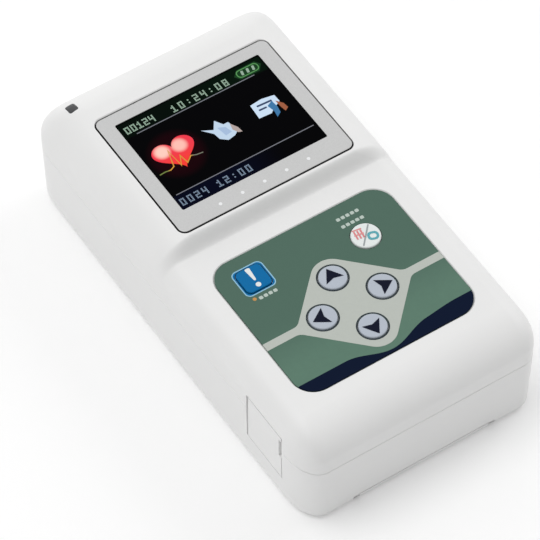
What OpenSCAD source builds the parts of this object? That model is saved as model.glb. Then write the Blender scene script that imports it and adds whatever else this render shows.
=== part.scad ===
// Pocket heart monitor: a moulded two-part case with a raised colour screen,
// a printed keypad with six keys, a lead socket in the top end, a hinged port
// cover in the left side and a sliding battery door in the back.
// The case lies on its back. X runs across the screen, +Y points to the screen
// end, +Z comes out of the face. The origin is the middle of the back, on the
// surface that the case lies on.

/* [Case] */
// Width of the case
body_w = 62; // [60:0.5:68]
// Length of the case
body_l = 112.4; // [110:0.2:122]
// Height of the keypad face above the back
keypad_face_h = 27.6; // [27:0.1:31]
// Rise of the screen section above the keypad face
screen_rise = 3.6; // [3:0.1:5]
// Height where the side walls start to round over
shoulder_h = 21.2; // [20.5:0.1:22]
// Height of the joint line between the front and rear housings
joint_h = 17.6; // [17:0.1:18.4]
// Wall thickness of both housings
wall = 2.2; // [2:0.1:2.6]
// Sideways reach of the round-over beside the keypad
keypad_round = 5.6; // [5:0.1:6.4]
// Sideways reach of the round-over beside the screen
screen_round = 10; // [8:0.1:10.5]
// Lengthways reach of the round-over at the bottom end
bottom_round = 9.5; // [8:0.1:11]
// Lengthways reach of the round-over at the top end
top_round = 10; // [8:0.1:11]
// Squareness of the two bottom corners seen from above
bottom_square = 2.2; // [2:0.1:3]
// Squareness of the two top corners seen from above
top_square = 4; // [3:0.1:5]
// Radius of the edge round the back
back_round = 2; // [1.2:0.1:2.2]
// Draft of the rear housing, from the joint line down to the back
draft = 0.3; // [0:0.05:0.5]
// Length of the sloping step between the keypad and the screen
step_l = 5.2; // [4:0.1:6]
// Height of the lip that locates the front housing on the rear housing
lip_h = 1.2; // [0.8:0.1:1.6]
// Thickness of that lip
lip_t = 0.9; // [0.7:0.1:1.2]

/* [Screen] */
// Width of the silver bezel round the screen
bezel_w = 45.5; // [44:0.1:46]
// Length of the bezel
bezel_l = 37.2; // [35:0.1:38]
// Thickness of the bezel
bezel_t = 1.2; // [1:0.1:1.4]
// Corner radius of the bezel
bezel_r = 2; // [1.5:0.1:3]
// Distance from the top end of the case to the bezel
bezel_margin = 13.4; // [13:0.1:15]
// Depth of the bezel's surface below the screen face
bezel_sink = 0.3; // [0.2:0.05:0.4]
// Width of the dark gasket line round the bezel
gasket_w = 0.5; // [0.4:0.05:0.6]
// Thickness of the gasket under the bezel
gasket_t = 0.2; // [0.2:0.05:0.3]
// Width of the clear display area
display_w = 37.8; // [36:0.1:38.5]
// Length of the clear display area
display_l = 28.1; // [26:0.1:28.5]
// Shift of the display from the bezel's middle towards the top end
display_shift = 1.15; // [0:0.05:1.4]
// Thickness of the display glass
display_t = 2; // [1.8:0.1:2.2]
// Width of the frame that carries the display, past the glass on each side
display_frame_rim = 2.4; // [1.8:0.1:2.6]
// Height of the frame that carries the display
display_frame_h = 3.8; // [3.2:0.1:4.2]

/* [Keypad] */
// Width of the printed keypad
keypad_w = 45.8; // [44:0.1:47]
// Length of the printed keypad
keypad_l = 39.6; // [38.5:0.1:41]
// Corner radius of the printed keypad
keypad_r = 5.2; // [4:0.1:6.5]
// Thickness of the printed keypad
keypad_t = 0.5; // [0.4:0.05:0.6]
// Distance from the bottom end of the case to the keypad
keypad_margin = 12.8; // [12:0.1:13.5]
// Radius of the four round arrow keys
arrow_r = 3.2; // [2.8:0.05:3.4]
// Distance of each arrow key from the middle of the four
arrow_spread = 7.75; // [7.4:0.05:8.2]
// Place of the middle of the arrow keys across the keypad
arrows_x = -0.4; // [-1:0.1:1]
// Place of the middle of the arrow keys above the keypad's lower edge
arrows_up = 15.7; // [15.2:0.1:17]
// Radius of the round mode key
mode_r = 3.4; // [3:0.05:3.6]
// Place of the mode key across the keypad
mode_x = 12; // [11:0.1:13]
// Place of the mode key below the keypad's upper edge
mode_down = 10.6; // [9.5:0.1:11]
// Side of the square event key
event_side = 6.4; // [5.6:0.1:6.8]
// Corner radius of the event key
event_r = 1.3; // [1:0.1:1.8]
// Place of the event key across the keypad
event_x = -14.9; // [-15.6:0.1:-14]
// Place of the event key below the keypad's upper edge
event_down = 7; // [6.5:0.1:8]
// Thickness of a key's cap
key_cap_t = 1.05; // [0.9:0.05:1.2]
// Height of a key's cap above the keypad
key_proud = 0.35; // [0.3:0.05:0.5]
// Travel of every key
key_travel = 0.3; // [0.2:0.05:0.35]
// Radius of a key's stem
stem_r = 1.6; // [1.3:0.05:1.8]

/* [Battery bay] */
// Diameter of a cell
cell_d = 14.5; // [14:0.1:14.5]
// Length of a cell with its terminal
cell_l = 50.5; // [49:0.1:51]
// Width of the battery door without its tongues
door_w = 34; // [33.6:0.1:34.4]
// Thickness of the battery door
door_t = 2; // [1.8:0.1:2.2]
// Reach of the door's side tongues
tongue_w = 1.4; // [1.1:0.1:1.6]
// Thickness of the door's side tongues
tongue_t = 0.9; // [0.7:0.05:1]
// Thickness of the battery bay's walls and roof
bay_wall = 1.2; // [1:0.1:1.4]
// Room for a leaf contact at each cell's flat end
leaf_room = 3.6; // [3:0.1:4]
// Thickness of the metal of the contacts
contact_t = 0.4; // [0.3:0.05:0.5]

/* [Port] */
// Length of the port cover along the case
cover_l = 14; // [13:0.1:15]
// Height of the port cover
cover_h = 14.4; // [13.4:0.1:14.6]
// Thickness of the port cover
cover_t = 1.6; // [1.4:0.05:1.8]
// Top of the port cover above the back
cover_top_h = 22; // [21.4:0.1:22.2]
// Distance from the bottom end of the case to the port cover
cover_margin = 9.9; // [9.6:0.1:11]
// Radius of the cover's hinge pins
hinge_pin_r = 0.4; // [0.35:0.01:0.42]
// Length of each hinge pin
hinge_pin_l = 0.9; // [0.7:0.05:1]
// Length of the fingernail notch in the cover's free edge
notch_h = 6; // [5:0.1:7]
// Depth of the fingernail notch
notch_w = 0.9; // [0.7:0.05:1.1]
// Width of the data socket's shell
usb_w = 7.7; // [7.5:0.1:8]
// Height of the data socket's shell
usb_h = 3.9; // [3.7:0.1:4]
// Depth of the data socket's shell
usb_l = 9; // [8.6:0.1:9.2]

/* [Lead socket] */
// Radius of the lead socket's barrel
lead_r = 5; // [4.8:0.05:5.2]
// Radius of the lead socket's bore
lead_bore_r = 3.9; // [3.8:0.05:4.1]
// Depth of the lead socket's bore
lead_depth = 8.8; // [8.6:0.1:9.5]
// Radius of the flange that traps the socket in the case
lead_flange_r = 6.2; // [5.8:0.1:6.4]
// Radius of a contact pin
lead_pin_r = 0.45; // [0.4:0.05:0.5]
// Length of a contact pin
lead_pin_l = 3.8; // [3.5:0.1:4]
// Number of contact pins round the middle pin
lead_pin_count = 6; // [5:1:7]

/* [Inside] */
// Width of the main board
board_w = 54; // [53:0.1:54.4]
// Thickness of the main board
board_t = 1.6; // [1.4:0.1:1.7]
// Space from each end of the case to the main board
board_margin = 4.4; // [4.2:0.1:5]
// Gap between the battery bay and the main board
board_gap = 0.7; // [0.6:0.1:0.9]
// Side of a key switch
switch_side = 4.6; // [4.2:0.1:5]
// Radius of a key switch's plunger
plunger_r = 1.1; // [0.9:0.05:1.3]
// Height of a key switch's plunger above its body
plunger_h = 0.5; // [0.4:0.05:0.7]
// Distance of the shield can's middle from the board's left side
shield_side = 14; // [12:0.5:15]
// Distance of the shield can's middle from the battery bay
shield_up = 22; // [20:0.5:24]
// Distance of the sounder's middle from the board's right side
sounder_side = 12; // [10:0.5:13]
// Distance of the sounder's middle from the battery bay
sounder_up = 34; // [31:0.5:35]
// Distance of the clock cell's middle from the board's right side
clock_cell_side = 14; // [11:0.5:15]
// Distance of the clock cell's middle from the battery bay
clock_cell_up = 17; // [13:0.5:18]
// Radius of the sounder
sounder_r = 4.5; // [4:0.1:5]
// Height of the sounder
sounder_h = 3.2; // [2.8:0.1:3.6]
// Radius of the clock cell
clock_cell_r = 6.2; // [5:0.1:6.4]
// Height of the clock cell
clock_cell_h = 2; // [1.6:0.1:2.4]
// Width of the status light
light_w = 2; // [1.6:0.1:2.2]
// Length of the status light
light_l = 2.4; // [2:0.1:2.6]
// Distance of the status light from the left side
light_side = 7; // [6.8:0.1:7.5]
// Distance of the status light from the top end
light_end = 6.5; // [6:0.1:7]

/* [Screws] */
// Radius of a case screw's shank
case_screw_r = 1.2; // [1:0.05:1.3]
// Radius of a case screw's head
case_head_r = 2.2; // [2:0.1:2.4]
// Height of a case screw's head
case_head_h = 1.5; // [1.2:0.1:1.8]
// Depth of a case screw's head shoulder above the back
case_seat_h = 10; // [9:0.1:11]
// Depth that a case screw reaches into the front housing
case_bite = 5; // [4:0.1:5.5]
// Radius of a case screw's post
post_r = 3; // [2.9:0.05:3.1]
// Distance of the case screws from the sides
post_side = 5.9; // [5.6:0.1:6.2]
// Distance of the upper case screws from the top end
post_top = 11.7; // [11.5:0.1:12.2]
// Distance of the lower case screws from the bottom end
post_bottom = 6.9; // [6.6:0.1:7.4]
// Radius of a board screw's shank
board_screw_r = 0.9; // [0.8:0.05:1]
// Radius of a board screw's head
board_head_r = 1.7; // [1.5:0.05:1.8]
// Height of a board screw's head
board_head_h = 0.5; // [0.4:0.05:0.55]
// Radius of a board screw's post
board_post_r = 2.1; // [1.9:0.05:2.3]
// Distance of the board screws from the sides of the board
board_post_side = 2; // [1.8:0.1:2.2]
// Distance of the upper board screws from the top end
board_post_top = 26.2; // [25:0.1:27]
// Distance of the lower board screws from the bottom end
board_post_bottom = 32; // [31:0.1:36]

/* [Clearances] */
// Gap round a piece that sits in a recess
fit_gap = 0.2; // [0.1:0.05:0.25]
// Gap round a key in the keypad
key_gap = 0.2; // [0.15:0.05:0.25]
// Gap between a sliding or swinging piece and the case
run_gap = 0.25; // [0.2:0.05:0.3]
// Gap between a loose piece and the seat that carries it
seat_gap = 0.3; // [0.2:0.05:0.35]
// Gap round a screw's shank
screw_gap = 0.15; // [0.1:0.05:0.2]
// Gap between the two housings' lip and groove
lip_gap = 0.15; // [0.1:0.05:0.2]
// Gap between the main board's edge and the housings
board_clear = 0.3; // [0.2:0.05:0.5]

/* [Hidden] */

// Colours, as the object shows them
case_white = [0.93, 0.93, 0.92];
bezel_grey = [0.76, 0.77, 0.78];
glass_black = [0.03, 0.03, 0.05];
rubber_black = [0.08, 0.08, 0.08];
frame_grey = [0.55, 0.56, 0.58];
ribbon_amber = [0.72, 0.45, 0.12];
keypad_green = [0.33, 0.43, 0.38];
event_blue = [0, 0.41, 0.7];
key_white = [0.93, 0.94, 0.93];
key_lavender = [0.75, 0.75, 0.81];
light_dark = [0.2, 0.21, 0.22];
metal = [0.75, 0.76, 0.78];
gold = [0.85, 0.68, 0.3];
board_green = [0.06, 0.32, 0.17];
chip_black = [0.1, 0.1, 0.11];
cell_blue = [0.16, 0.22, 0.4];
screw_steel = [0.62, 0.63, 0.65];

// Facets of the moulded form and of true rounds
corner_steps = 8;
rise_steps = 7;
step_stations = 8;
back_steps = 4;
inner_corner_steps = 3;
inner_rise_steps = 3;
inner_step_stations = 4;
round_fn = 48;
over = 1;
crown = 0.12;

// Case
screen_face_h = keypad_face_h + screen_rise;
half_w = body_w / 2;
half_l = body_l / 2;
root_h = wall / 2;

// Bezel, gasket and display
bezel_y = half_l - bezel_margin - bezel_l / 2;
bezel_top_h = screen_face_h - bezel_sink;
bezel_low_h = bezel_top_h - bezel_t;
bezel_floor_h = bezel_low_h - gasket_t;
bezel_floor_t = 1.3;
seat_rim = 2.4;
seat_rim_low = 1.2;
seat_cover = 0.2;
gasket_lip = 2;
gasket_drop = 0.15;
gasket_gap = 0.05;
lens_gap = 0.1;
lens_drop = 0.1;
lens_r = 0.6;
display_y = bezel_y + display_shift;
display_edge = 0.6;
glass_w = display_w + 2 * display_edge;
glass_l = display_l + 2 * display_edge;
glass_low_h = bezel_floor_h - display_t;
display_frame_top_h = bezel_floor_h - bezel_floor_t;
display_frame_low_h = display_frame_top_h - display_frame_h;
display_frame_w = glass_w + 2 * display_frame_rim;
display_frame_l = glass_l + 2 * display_frame_rim;
frame_leg_r = 1.2;
frame_leg_in = 2.2;
step_y1 = bezel_y - bezel_l / 2 - gasket_w;
step_y0 = step_y1 - step_l;

// Keypad and keys
keypad_y = keypad_margin + keypad_l / 2 - half_l;
keypad_floor_h = keypad_face_h - keypad_t;
keypad_low_y = keypad_y - keypad_l / 2;
keypad_high_y = keypad_y + keypad_l / 2;
arrows_y = keypad_low_y + arrows_up;
key_top_h = keypad_face_h + key_proud;
key_cap_low_h = key_top_h - key_cap_t;
key_rest_gap = 0.05;
key_pocket_h = key_cap_low_h - key_travel - key_rest_gap;
key_edge = 0.25;
event_at = [event_x, keypad_high_y - event_down];
mode_at = [mode_x, keypad_high_y - mode_down];
up_at = [arrows_x, arrows_y + arrow_spread];
right_at = [arrows_x + arrow_spread, arrows_y];
left_at = [arrows_x - arrow_spread, arrows_y];
down_at = [arrows_x, arrows_y - arrow_spread];
arrow_places = [up_at, right_at, left_at, down_at];
key_places = concat([event_at, mode_at], arrow_places);

// Battery bay and door, worked out from the back upwards
door_low_h = 0.1;
door_top_h = door_low_h + door_t;
door_slot_h = door_top_h + run_gap;
cell_r = cell_d / 2;
cell_h = door_top_h + seat_gap + cell_r;
cell_x = cell_r + seat_gap / 2 + 0.1;
bay_half_w = cell_x + cell_r + seat_gap;
bay_low_y = wall + run_gap + bay_wall - half_l;
bay_l = cell_l + leaf_room + 2 * contact_t + seat_gap;
bay_high_y = bay_low_y + bay_l;
bay_roof_h = cell_h + cell_r + seat_gap;
bay_top_h = bay_roof_h + bay_wall;
nipple_r = 2.6;
nipple_l = 1;
cell_slack = seat_gap / 2;
cell_low_y = bay_low_y + contact_t + cell_slack;
door_end_y = bay_high_y + bay_wall + 1;
slot_half_w = door_w / 2 + run_gap;
groove_half_w = door_w / 2 + tongue_w + run_gap;
tongue_low_h = door_top_h - tongue_t - 0.2;
rail_wall = 1;
rail_roof = 1.4;
rail_h = door_slot_h + rail_roof;
rail_end_y = door_end_y + run_gap + rail_wall;
grip_count = 5;
grip_pitch = 2;
grip_w = 0.8;
grip_deep = 0.5;
grip_l = 14;
grip_first = 8;

// Battery contacts: a plate half as high as the cell, and a tab to the board
contact_half_h = 5;
contact_half_w = 4;
tab_w = 2;
tab_gap = 0.2;

// Port cover, hinge and data socket
cover_low_h = cover_top_h - cover_h;
cover_low_y = cover_margin - half_l;
cover_high_y = cover_low_y + cover_l;
hinge_r = cover_t / 2;
hinge_sink = 0.2;
hinge_x = hinge_sink + hinge_r - half_w;
hinge_y = cover_high_y - run_gap - hinge_sink - hinge_r;
hinge_hole_gap = 0.1;
port_floor_x = hinge_x + hinge_r + run_gap;
port_wall = 1.6;
usb_x = port_floor_x + 0.4;
usb_y = (cover_low_y + cover_high_y) / 2;
usb_shell_t = 0.4;
usb_tongue_h = 1.2;
usb_cavity_l = 5;
notch_mid_h = cover_low_h + 0.72 * cover_h;

// Lead socket
lead_face_y = half_l - 0.2;
lead_back_t = 1.6;
lead_floor_y = lead_face_y - lead_depth;
lead_back_y = lead_floor_y - lead_back_t;
lead_flange_t = 1.5;
lead_flange_in = 1;
lead_flange_y = half_l - wall - lead_flange_in;
lead_pin_ring = 2.2;
board_notch_gap = 0.4;

// Board and what it carries
board_low_h = bay_top_h + board_gap;
board_top_h = board_low_h + board_t;
board_low_y = board_margin - half_l;
board_high_y = half_l - board_margin;
switch_h = 3.4;
switch_top_h = board_top_h + switch_h;
plunger_top_h = switch_top_h + plunger_h;
stem_low_h = plunger_top_h + key_travel + key_rest_gap;
usb_low_h = board_low_h - usb_h;
light_x = light_side - half_w;
light_y = half_l - light_end;
led_h = 0.6;
light_low_h = board_top_h + led_h + seat_gap;
chip_h = 1.2;
chip_side = 9;
small_chip_w = 6;
small_chip_l = 4;
plug_w = 14;
plug_l = 2.6;
plug_h = 1.5;
plug_y = step_y1 - 1.2;
ribbon_w = 12;
ribbon_t = 0.3;
shield_w = 18;
shield_l = 16;
shield_h = 2.4;
shield_at = [shield_side - board_w / 2, bay_high_y + shield_up];
sounder_at = [board_w / 2 - sounder_side, bay_high_y + sounder_up];
clock_cell_at = [board_w / 2 - clock_cell_side, bay_high_y + clock_cell_up];
sounder_hole_r = 1;
clip_w = 3;
clip_t = 0.4;

// Screws
post_x = half_w - post_side;
post_high_y = half_l - post_top;
post_low_y = post_bottom - half_l;
case_posts = [for (sx = [-1, 1], y = [post_low_y, post_high_y]) [sx * post_x, y]];
boss_top_h = keypad_face_h - wall - 0.2;
gusset_t = 1.2;
gusset_rise = 1.8;
gusset_h = shoulder_h + gusset_rise;
case_screw_top_h = joint_h + case_bite;
pilot_deep = 0.4;
head_gap = 0.2;
board_post_x = board_w / 2 - board_post_side;
board_post_high_y = half_l - board_post_top;
board_post_low_y = board_post_bottom - half_l;
board_bite = 3;
slot_w = 0.6;
slot_deep = 0.6;

// Smooth change from 0 to 1 up the step between the keypad and the screen
function ramp(y) =
    let (t = min(1, max(0, (y - step_y0) / step_l)))
    t * t * (3 - 2 * t);

// Round-over reach and face height at a place along the case, for a form that
// lies inside the case's own surface by the inset
inset_share = 0.7;
function side_reach(y, inset) =
    keypad_round + (screen_round - keypad_round) * ramp(y) - inset * inset_share;
function end_reach(side, inset) =
    (side < 0 ? bottom_round : top_round) - inset * inset_share;
function face_h(y, inset) = keypad_face_h + screen_rise * ramp(y) - inset;

// One corner of an outline, from the side wall round to the end wall
function corner_point(side, angle, reach, inset) =
    let (power = 2 / (side < 0 ? bottom_square : top_square))
    let (along = end_reach(side, inset))
    let (y0 = half_l - inset - along)
    let (across = side_reach(side * y0, inset))
    [
        half_w - inset - across + across * reach * pow(cos(angle), power),
        side * (y0 + along * reach * pow(sin(angle), power))
    ];

// Right half of an outline, from the bottom end to the top end
function half_outline(reach, inset, corners, stations) =
    concat(
        [
            for (i = [corners:-1:0])
                corner_point(-1, 90 * i / corners, reach, inset)
        ],
        [
            for (i = [0:stations])
                let (y = step_y0 + step_l * i / stations)
                let (across = side_reach(y, inset))
                [half_w - inset - across + across * reach, y]
        ],
        [
            for (i = [0:corners])
                corner_point(1, 90 * i / corners, reach, inset)
        ]
    );

// Whole outline at one level, as points: shrink draws it in for the draft and
// the back edge, and lift is the share of the round-over climbed, or below 0
// where the outline lies flat at flat_h
function outline(reach, lift, flat_h, shrink, inset, corners, stations) =
    let (half = half_outline(reach, inset, corners, stations))
    let (n = len(half))
    let (kx = 1 - shrink / half_w)
    let (ky = 1 - shrink / half_l)
    [
        for (i = [0:2 * n - 1])
            let (right = i < n)
            let (p = half[right ? i : 2 * n - 1 - i])
            let (top_h = face_h(p[1], inset))
            [
                (right ? 1 : -1) * p[0] * kx,
                p[1] * ky,
                lift < 0 ? flat_h : shoulder_h + (top_h - shoulder_h) * lift
            ]
    ];

// The case's outer form, or a form inside it by the inset: a back with rounded
// edges, drafted walls, and a round-over up to the keypad and screen faces
module case_form(inset, corners, rises, stations) {
    edge_r = max(back_round - inset, 0.4);
    lower = [
        for (i = [back_steps:-1:0])
            let (a = 90 * i / back_steps)
            outline(1, -1, inset + edge_r * (1 - sin(a)),
                draft + edge_r * (1 - cos(a)), inset, corners, stations)
    ];
    middle = [
        for (h = [joint_h, shoulder_h])
            outline(1, -1, h, 0, inset, corners, stations)
    ];
    upper = [
        for (i = [1:rises])
            let (a = 90 * i / rises)
            outline(max(cos(a), crown), sin(a), 0, 0, inset, corners, stations)
    ];
    rings = concat(lower, middle, upper);
    levels = len(rings);
    n = len(rings[0]);
    last = (levels - 1) * n;
    walls = [
        for (k = [0:levels - 2], i = [0:n - 1])
            let (j = (i + 1) % n)
            each [
                [k * n + i, (k + 1) * n + j, k * n + j],
                [k * n + i, (k + 1) * n + i, (k + 1) * n + j]
            ]
    ];
    back_face = [[for (i = [0:n - 1]) i]];
    top_face = [
        for (i = [0:n / 2 - 2])
            each [
                [last + i, last + n - 2 - i, last + i + 1],
                [last + i, last + n - 1 - i, last + n - 2 - i]
            ]
    ];
    polyhedron([for (ring = rings) each ring], concat(walls, back_face, top_face));
}

module outer_form() {
    case_form(0, corner_steps, rise_steps, step_stations);
}

module inner_form(inset) {
    case_form(inset, inner_corner_steps, inner_rise_steps, inner_step_stations);
}

// A block from its low corner to its high corner
module block(low, high) {
    translate(low) cube(high - low);
}

// A block that covers the whole case between two heights
module layer(low_h, high_h) {
    block([-body_w, -body_l, low_h], [body_w, body_l, high_h]);
}

// A flat rectangle with round corners, centred
module rounded(w, l, r) {
    square([w - 2 * r, l], center = true);
    square([w, l - 2 * r], center = true);
    for (sx = [-1, 1], sy = [-1, 1])
        translate([sx * (w / 2 - r), sy * (l / 2 - r)]) circle(r, $fn = round_fn);
}

module rounded_plate(w, l, r, low_h, high_h) {
    translate([0, 0, low_h]) linear_extrude(high_h - low_h) rounded(w, l, r);
}

// An upright rod at a place across and along the case
module rod(at, r, low_h, high_h) {
    translate([at[0], at[1], low_h]) cylinder(r = r, h = high_h - low_h, $fn = round_fn);
}

// A rod along the case, at the height of the joint line
module end_rod(x, z, r, low_y, high_y) {
    translate([x, low_y, z]) rotate([-90, 0, 0])
        cylinder(r = r, h = high_y - low_y, $fn = round_fn);
}

// ---- shared cuts of the two housings ----

// Hollow for the port cover, its hinge pins and the data socket behind it
module port_pocket() {
    block([-half_w - over, cover_low_y, cover_low_h - run_gap],
        [port_floor_x, cover_high_y, cover_top_h + run_gap]);
    rod([hinge_x, hinge_y], hinge_pin_r + hinge_hole_gap,
        cover_low_h - hinge_pin_l - 2 * run_gap,
        cover_top_h + hinge_pin_l + 2 * run_gap);
    block([-half_w, usb_y - usb_w / 2 - fit_gap, usb_low_h - fit_gap],
        [port_floor_x + 2 * port_wall, usb_y + usb_w / 2 + fit_gap,
        board_low_h + fit_gap]);
}

// Wall behind the port cover, inside the case
module port_pad(low_h, high_h) {
    block([-half_w + wall / 2, cover_low_y - port_wall, low_h],
        [port_floor_x + port_wall, cover_high_y + port_wall, high_h]);
}

// Hole in the top end for the lead socket and the groove for its flange
module lead_hole() {
    end_rod(0, joint_h, lead_r + fit_gap, lead_back_y, half_l + over);
    end_rod(0, joint_h, lead_flange_r + fit_gap, lead_back_y,
        lead_flange_y + fit_gap);
}

// Room for the main board and its screws' heads between the side walls
module board_room() {
    block([-board_w / 2 - board_clear, board_low_y - board_clear,
        board_low_h - board_head_h - board_clear],
        [board_w / 2 + board_clear, board_high_y + board_clear, board_top_h]);
}

// Ribs that tie the case screws' posts to the side walls
module gussets(low_h, high_h) {
    for (at = case_posts)
        let (side = sign(at[0]))
        block([min(at[0], side * (half_w - wall / 2)), at[1] - gusset_t / 2, low_h],
            [max(at[0], side * (half_w - wall / 2)), at[1] + gusset_t / 2, high_h]);
}

// ---- front housing ----

module front_shell() {
    difference() {
        union() {
            intersection() {
                outer_form();
                layer(joint_h, screen_face_h + over);
            }
            intersection() {
                inner_form(wall - lip_t);
                layer(joint_h - lip_h, joint_h + root_h);
            }
        }
        inner_form(wall);
        board_room();
    }
}

// Seat under the bezel, which also stops the display's frame
module bezel_seat() {
    block([-bezel_w / 2 - gasket_w - seat_rim,
        bezel_y - bezel_l / 2 - gasket_w - seat_rim_low, display_frame_top_h],
        [bezel_w / 2 + gasket_w + seat_rim,
        bezel_y + bezel_l / 2 + gasket_w + seat_rim, bezel_floor_h + seat_cover]);
}

module front_posts() {
    for (at = case_posts) rod(at, post_r, joint_h, boss_top_h);
    gussets(joint_h, gusset_h);
    for (sx = [-1, 1]) {
        rod([sx * board_post_x, board_post_high_y], board_post_r, board_top_h,
            display_frame_top_h + seat_cover);
        rod([sx * board_post_x, board_post_low_y], board_post_r, board_top_h,
            boss_top_h + 2 * seat_cover);
    }
}

module front_housing() {
    color(case_white) difference() {
        union() {
            front_shell();
            bezel_seat();
            front_posts();
            port_pad(joint_h, cover_top_h + port_wall);
        }
        translate([0, bezel_y, 0])
            rounded_plate(bezel_w + 2 * gasket_w, bezel_l + 2 * gasket_w,
                bezel_r + gasket_w, bezel_floor_h, screen_face_h + over);
        translate([0, display_y, 0])
            rounded_plate(glass_w + 2 * fit_gap, glass_l + 2 * fit_gap,
                lens_r, display_frame_top_h - over, bezel_floor_h + over);
        translate([0, keypad_y, 0])
            rounded_plate(keypad_w + 2 * fit_gap, keypad_l + 2 * fit_gap,
                keypad_r + fit_gap, keypad_floor_h, keypad_face_h + over);
        for (at = arrow_places)
            rod(at, arrow_r + key_gap, key_pocket_h, keypad_face_h);
        rod(mode_at, mode_r + key_gap, key_pocket_h, keypad_face_h);
        translate(event_at)
            rounded_plate(event_side + 2 * key_gap, event_side + 2 * key_gap,
                event_r + key_gap, key_pocket_h, keypad_face_h);
        for (at = key_places)
            rod(at, stem_r + key_gap, board_top_h, keypad_face_h);
        translate([light_x, light_y, (board_top_h + screen_face_h) / 2 + over])
            cube([light_w + 2 * fit_gap, light_l + 2 * fit_gap,
                screen_face_h - board_top_h], center = true);
        for (at = case_posts)
            rod(at, case_screw_r + screw_gap, joint_h - over,
                case_screw_top_h + pilot_deep);
        for (sx = [-1, 1], y = [board_post_low_y, board_post_high_y])
            rod([sx * board_post_x, y], board_screw_r + screw_gap,
                board_top_h - over, board_top_h + board_bite + pilot_deep);
        port_pocket();
        lead_hole();
    }
}

// ---- rear housing ----

module rear_shell() {
    difference() {
        intersection() {
            outer_form();
            layer(-over, joint_h);
        }
        inner_form(wall);
    }
}

// Battery bay: walls and roof over the cells, on rails that carry the door
module battery_bay() {
    difference() {
        union() {
            block([-bay_half_w - bay_wall, root_h - half_l, root_h],
                [bay_half_w + bay_wall, bay_high_y + bay_wall, bay_top_h]);
            block([-groove_half_w - rail_wall, root_h - half_l, root_h],
                [groove_half_w + rail_wall, rail_end_y, rail_h]);
        }
        block([-bay_half_w, bay_low_y, -over],
            [bay_half_w, bay_high_y, bay_roof_h]);
    }
}

// Path of the battery door: the plate's slot and the grooves for its tongues
module door_path() {
    block([-slot_half_w, -body_l, -over],
        [slot_half_w, door_end_y + run_gap, door_slot_h]);
    block([-groove_half_w, -body_l, tongue_low_h - run_gap],
        [groove_half_w, door_end_y + run_gap, tongue_low_h + tongue_t + run_gap]);
}

// Groove that takes the front housing's lip
module lip_groove() {
    difference() {
        intersection() {
            inner_form(wall - lip_t - lip_gap);
            layer(joint_h - lip_h - lip_gap, shoulder_h);
        }
        inner_form(wall + lip_gap);
    }
}

// Slots in the bay's roof for the contacts' tabs
module tab_slots() {
    for (sx = [-1, 1], y = [bay_low_y, bay_high_y])
        translate([sx * cell_x, y, bay_top_h])
            cube([tab_w + 2 * tab_gap, 2 * (contact_t + tab_gap), 4 * bay_wall],
                center = true);
}

module rear_housing() {
    color(case_white) difference() {
        union() {
            rear_shell();
            battery_bay();
            for (at = case_posts) rod(at, post_r, root_h, joint_h);
            gussets(root_h, joint_h);
            port_pad(cover_low_h - port_wall - hinge_pin_l, joint_h);
        }
        lip_groove();
        door_path();
        tab_slots();
        for (at = case_posts) {
            rod(at, case_head_r + head_gap, -over, case_seat_h);
            rod(at, case_screw_r + screw_gap, 0, joint_h + over);
        }
        port_pocket();
        lead_hole();
    }
}

// Battery door: a plate that follows the case's back edge at its outer end,
// with a tongue along each side and finger grooves across its outer end
module battery_door() {
    color(case_white) difference() {
        union() {
            intersection() {
                outer_form();
                block([-door_w / 2, -body_l, door_low_h],
                    [door_w / 2, door_end_y, door_top_h]);
            }
            block([-door_w / 2 - tongue_w, back_round - half_l, tongue_low_h],
                [door_w / 2 + tongue_w, door_end_y, tongue_low_h + tongue_t]);
        }
        for (i = [0:grip_count - 1])
            translate([-grip_l / 2, grip_first + grip_pitch * i - half_l, -over])
                cube([grip_l, grip_w, over + door_low_h + grip_deep]);
    }
}

// ---- screen ----

module screen_bezel() {
    color(bezel_grey) difference() {
        translate([0, bezel_y, 0])
            rounded_plate(bezel_w, bezel_l, bezel_r, bezel_low_h, bezel_top_h);
        translate([0, display_y, 0])
            rounded_plate(display_w, display_l, lens_r, bezel_low_h - over,
                bezel_top_h + over);
    }
}

// Gasket: a flat ring under the bezel with a rim that stands up round it
module bezel_gasket() {
    rim_w = bezel_w + 2 * gasket_w - 2 * gasket_gap;
    rim_l = bezel_l + 2 * gasket_w - 2 * gasket_gap;
    color(rubber_black) translate([0, bezel_y, 0]) difference() {
        rounded_plate(rim_w, rim_l, bezel_r + gasket_w - gasket_gap,
            bezel_floor_h, bezel_top_h - gasket_drop);
        rounded_plate(bezel_w + 2 * gasket_gap, bezel_l + 2 * gasket_gap,
            bezel_r + gasket_gap, bezel_low_h, bezel_top_h);
        rounded_plate(bezel_w - 2 * gasket_lip, bezel_l - 2 * gasket_lip,
            bezel_r, bezel_floor_h - over, bezel_top_h);
    }
}

// Display: a glass body with a lens that rises into the bezel's opening
module display_panel() {
    color(glass_black) translate([0, display_y, 0]) {
        rounded_plate(glass_w, glass_l, lens_r, glass_low_h, bezel_floor_h);
        rounded_plate(display_w - 2 * lens_gap, display_l - 2 * lens_gap,
            lens_r - lens_gap, bezel_floor_h, bezel_top_h - lens_drop);
    }
}

// Tray round the display, on four legs that stand on the main board
module display_frame() {
    leg_x = display_frame_w / 2 - frame_leg_in;
    leg_y = display_frame_l / 2 - frame_leg_in;
    color(frame_grey) translate([0, display_y, 0]) {
        difference() {
            rounded_plate(display_frame_w, display_frame_l, frame_leg_r,
                display_frame_low_h, display_frame_top_h);
            rounded_plate(glass_w + 2 * fit_gap, glass_l + 2 * fit_gap,
                lens_r, glass_low_h, display_frame_top_h + over);
        }
        for (sx = [-1, 1], sy = [-1, 1])
            rod([sx * leg_x, sy * leg_y], frame_leg_r, board_top_h,
                display_frame_low_h);
    }
}

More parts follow.
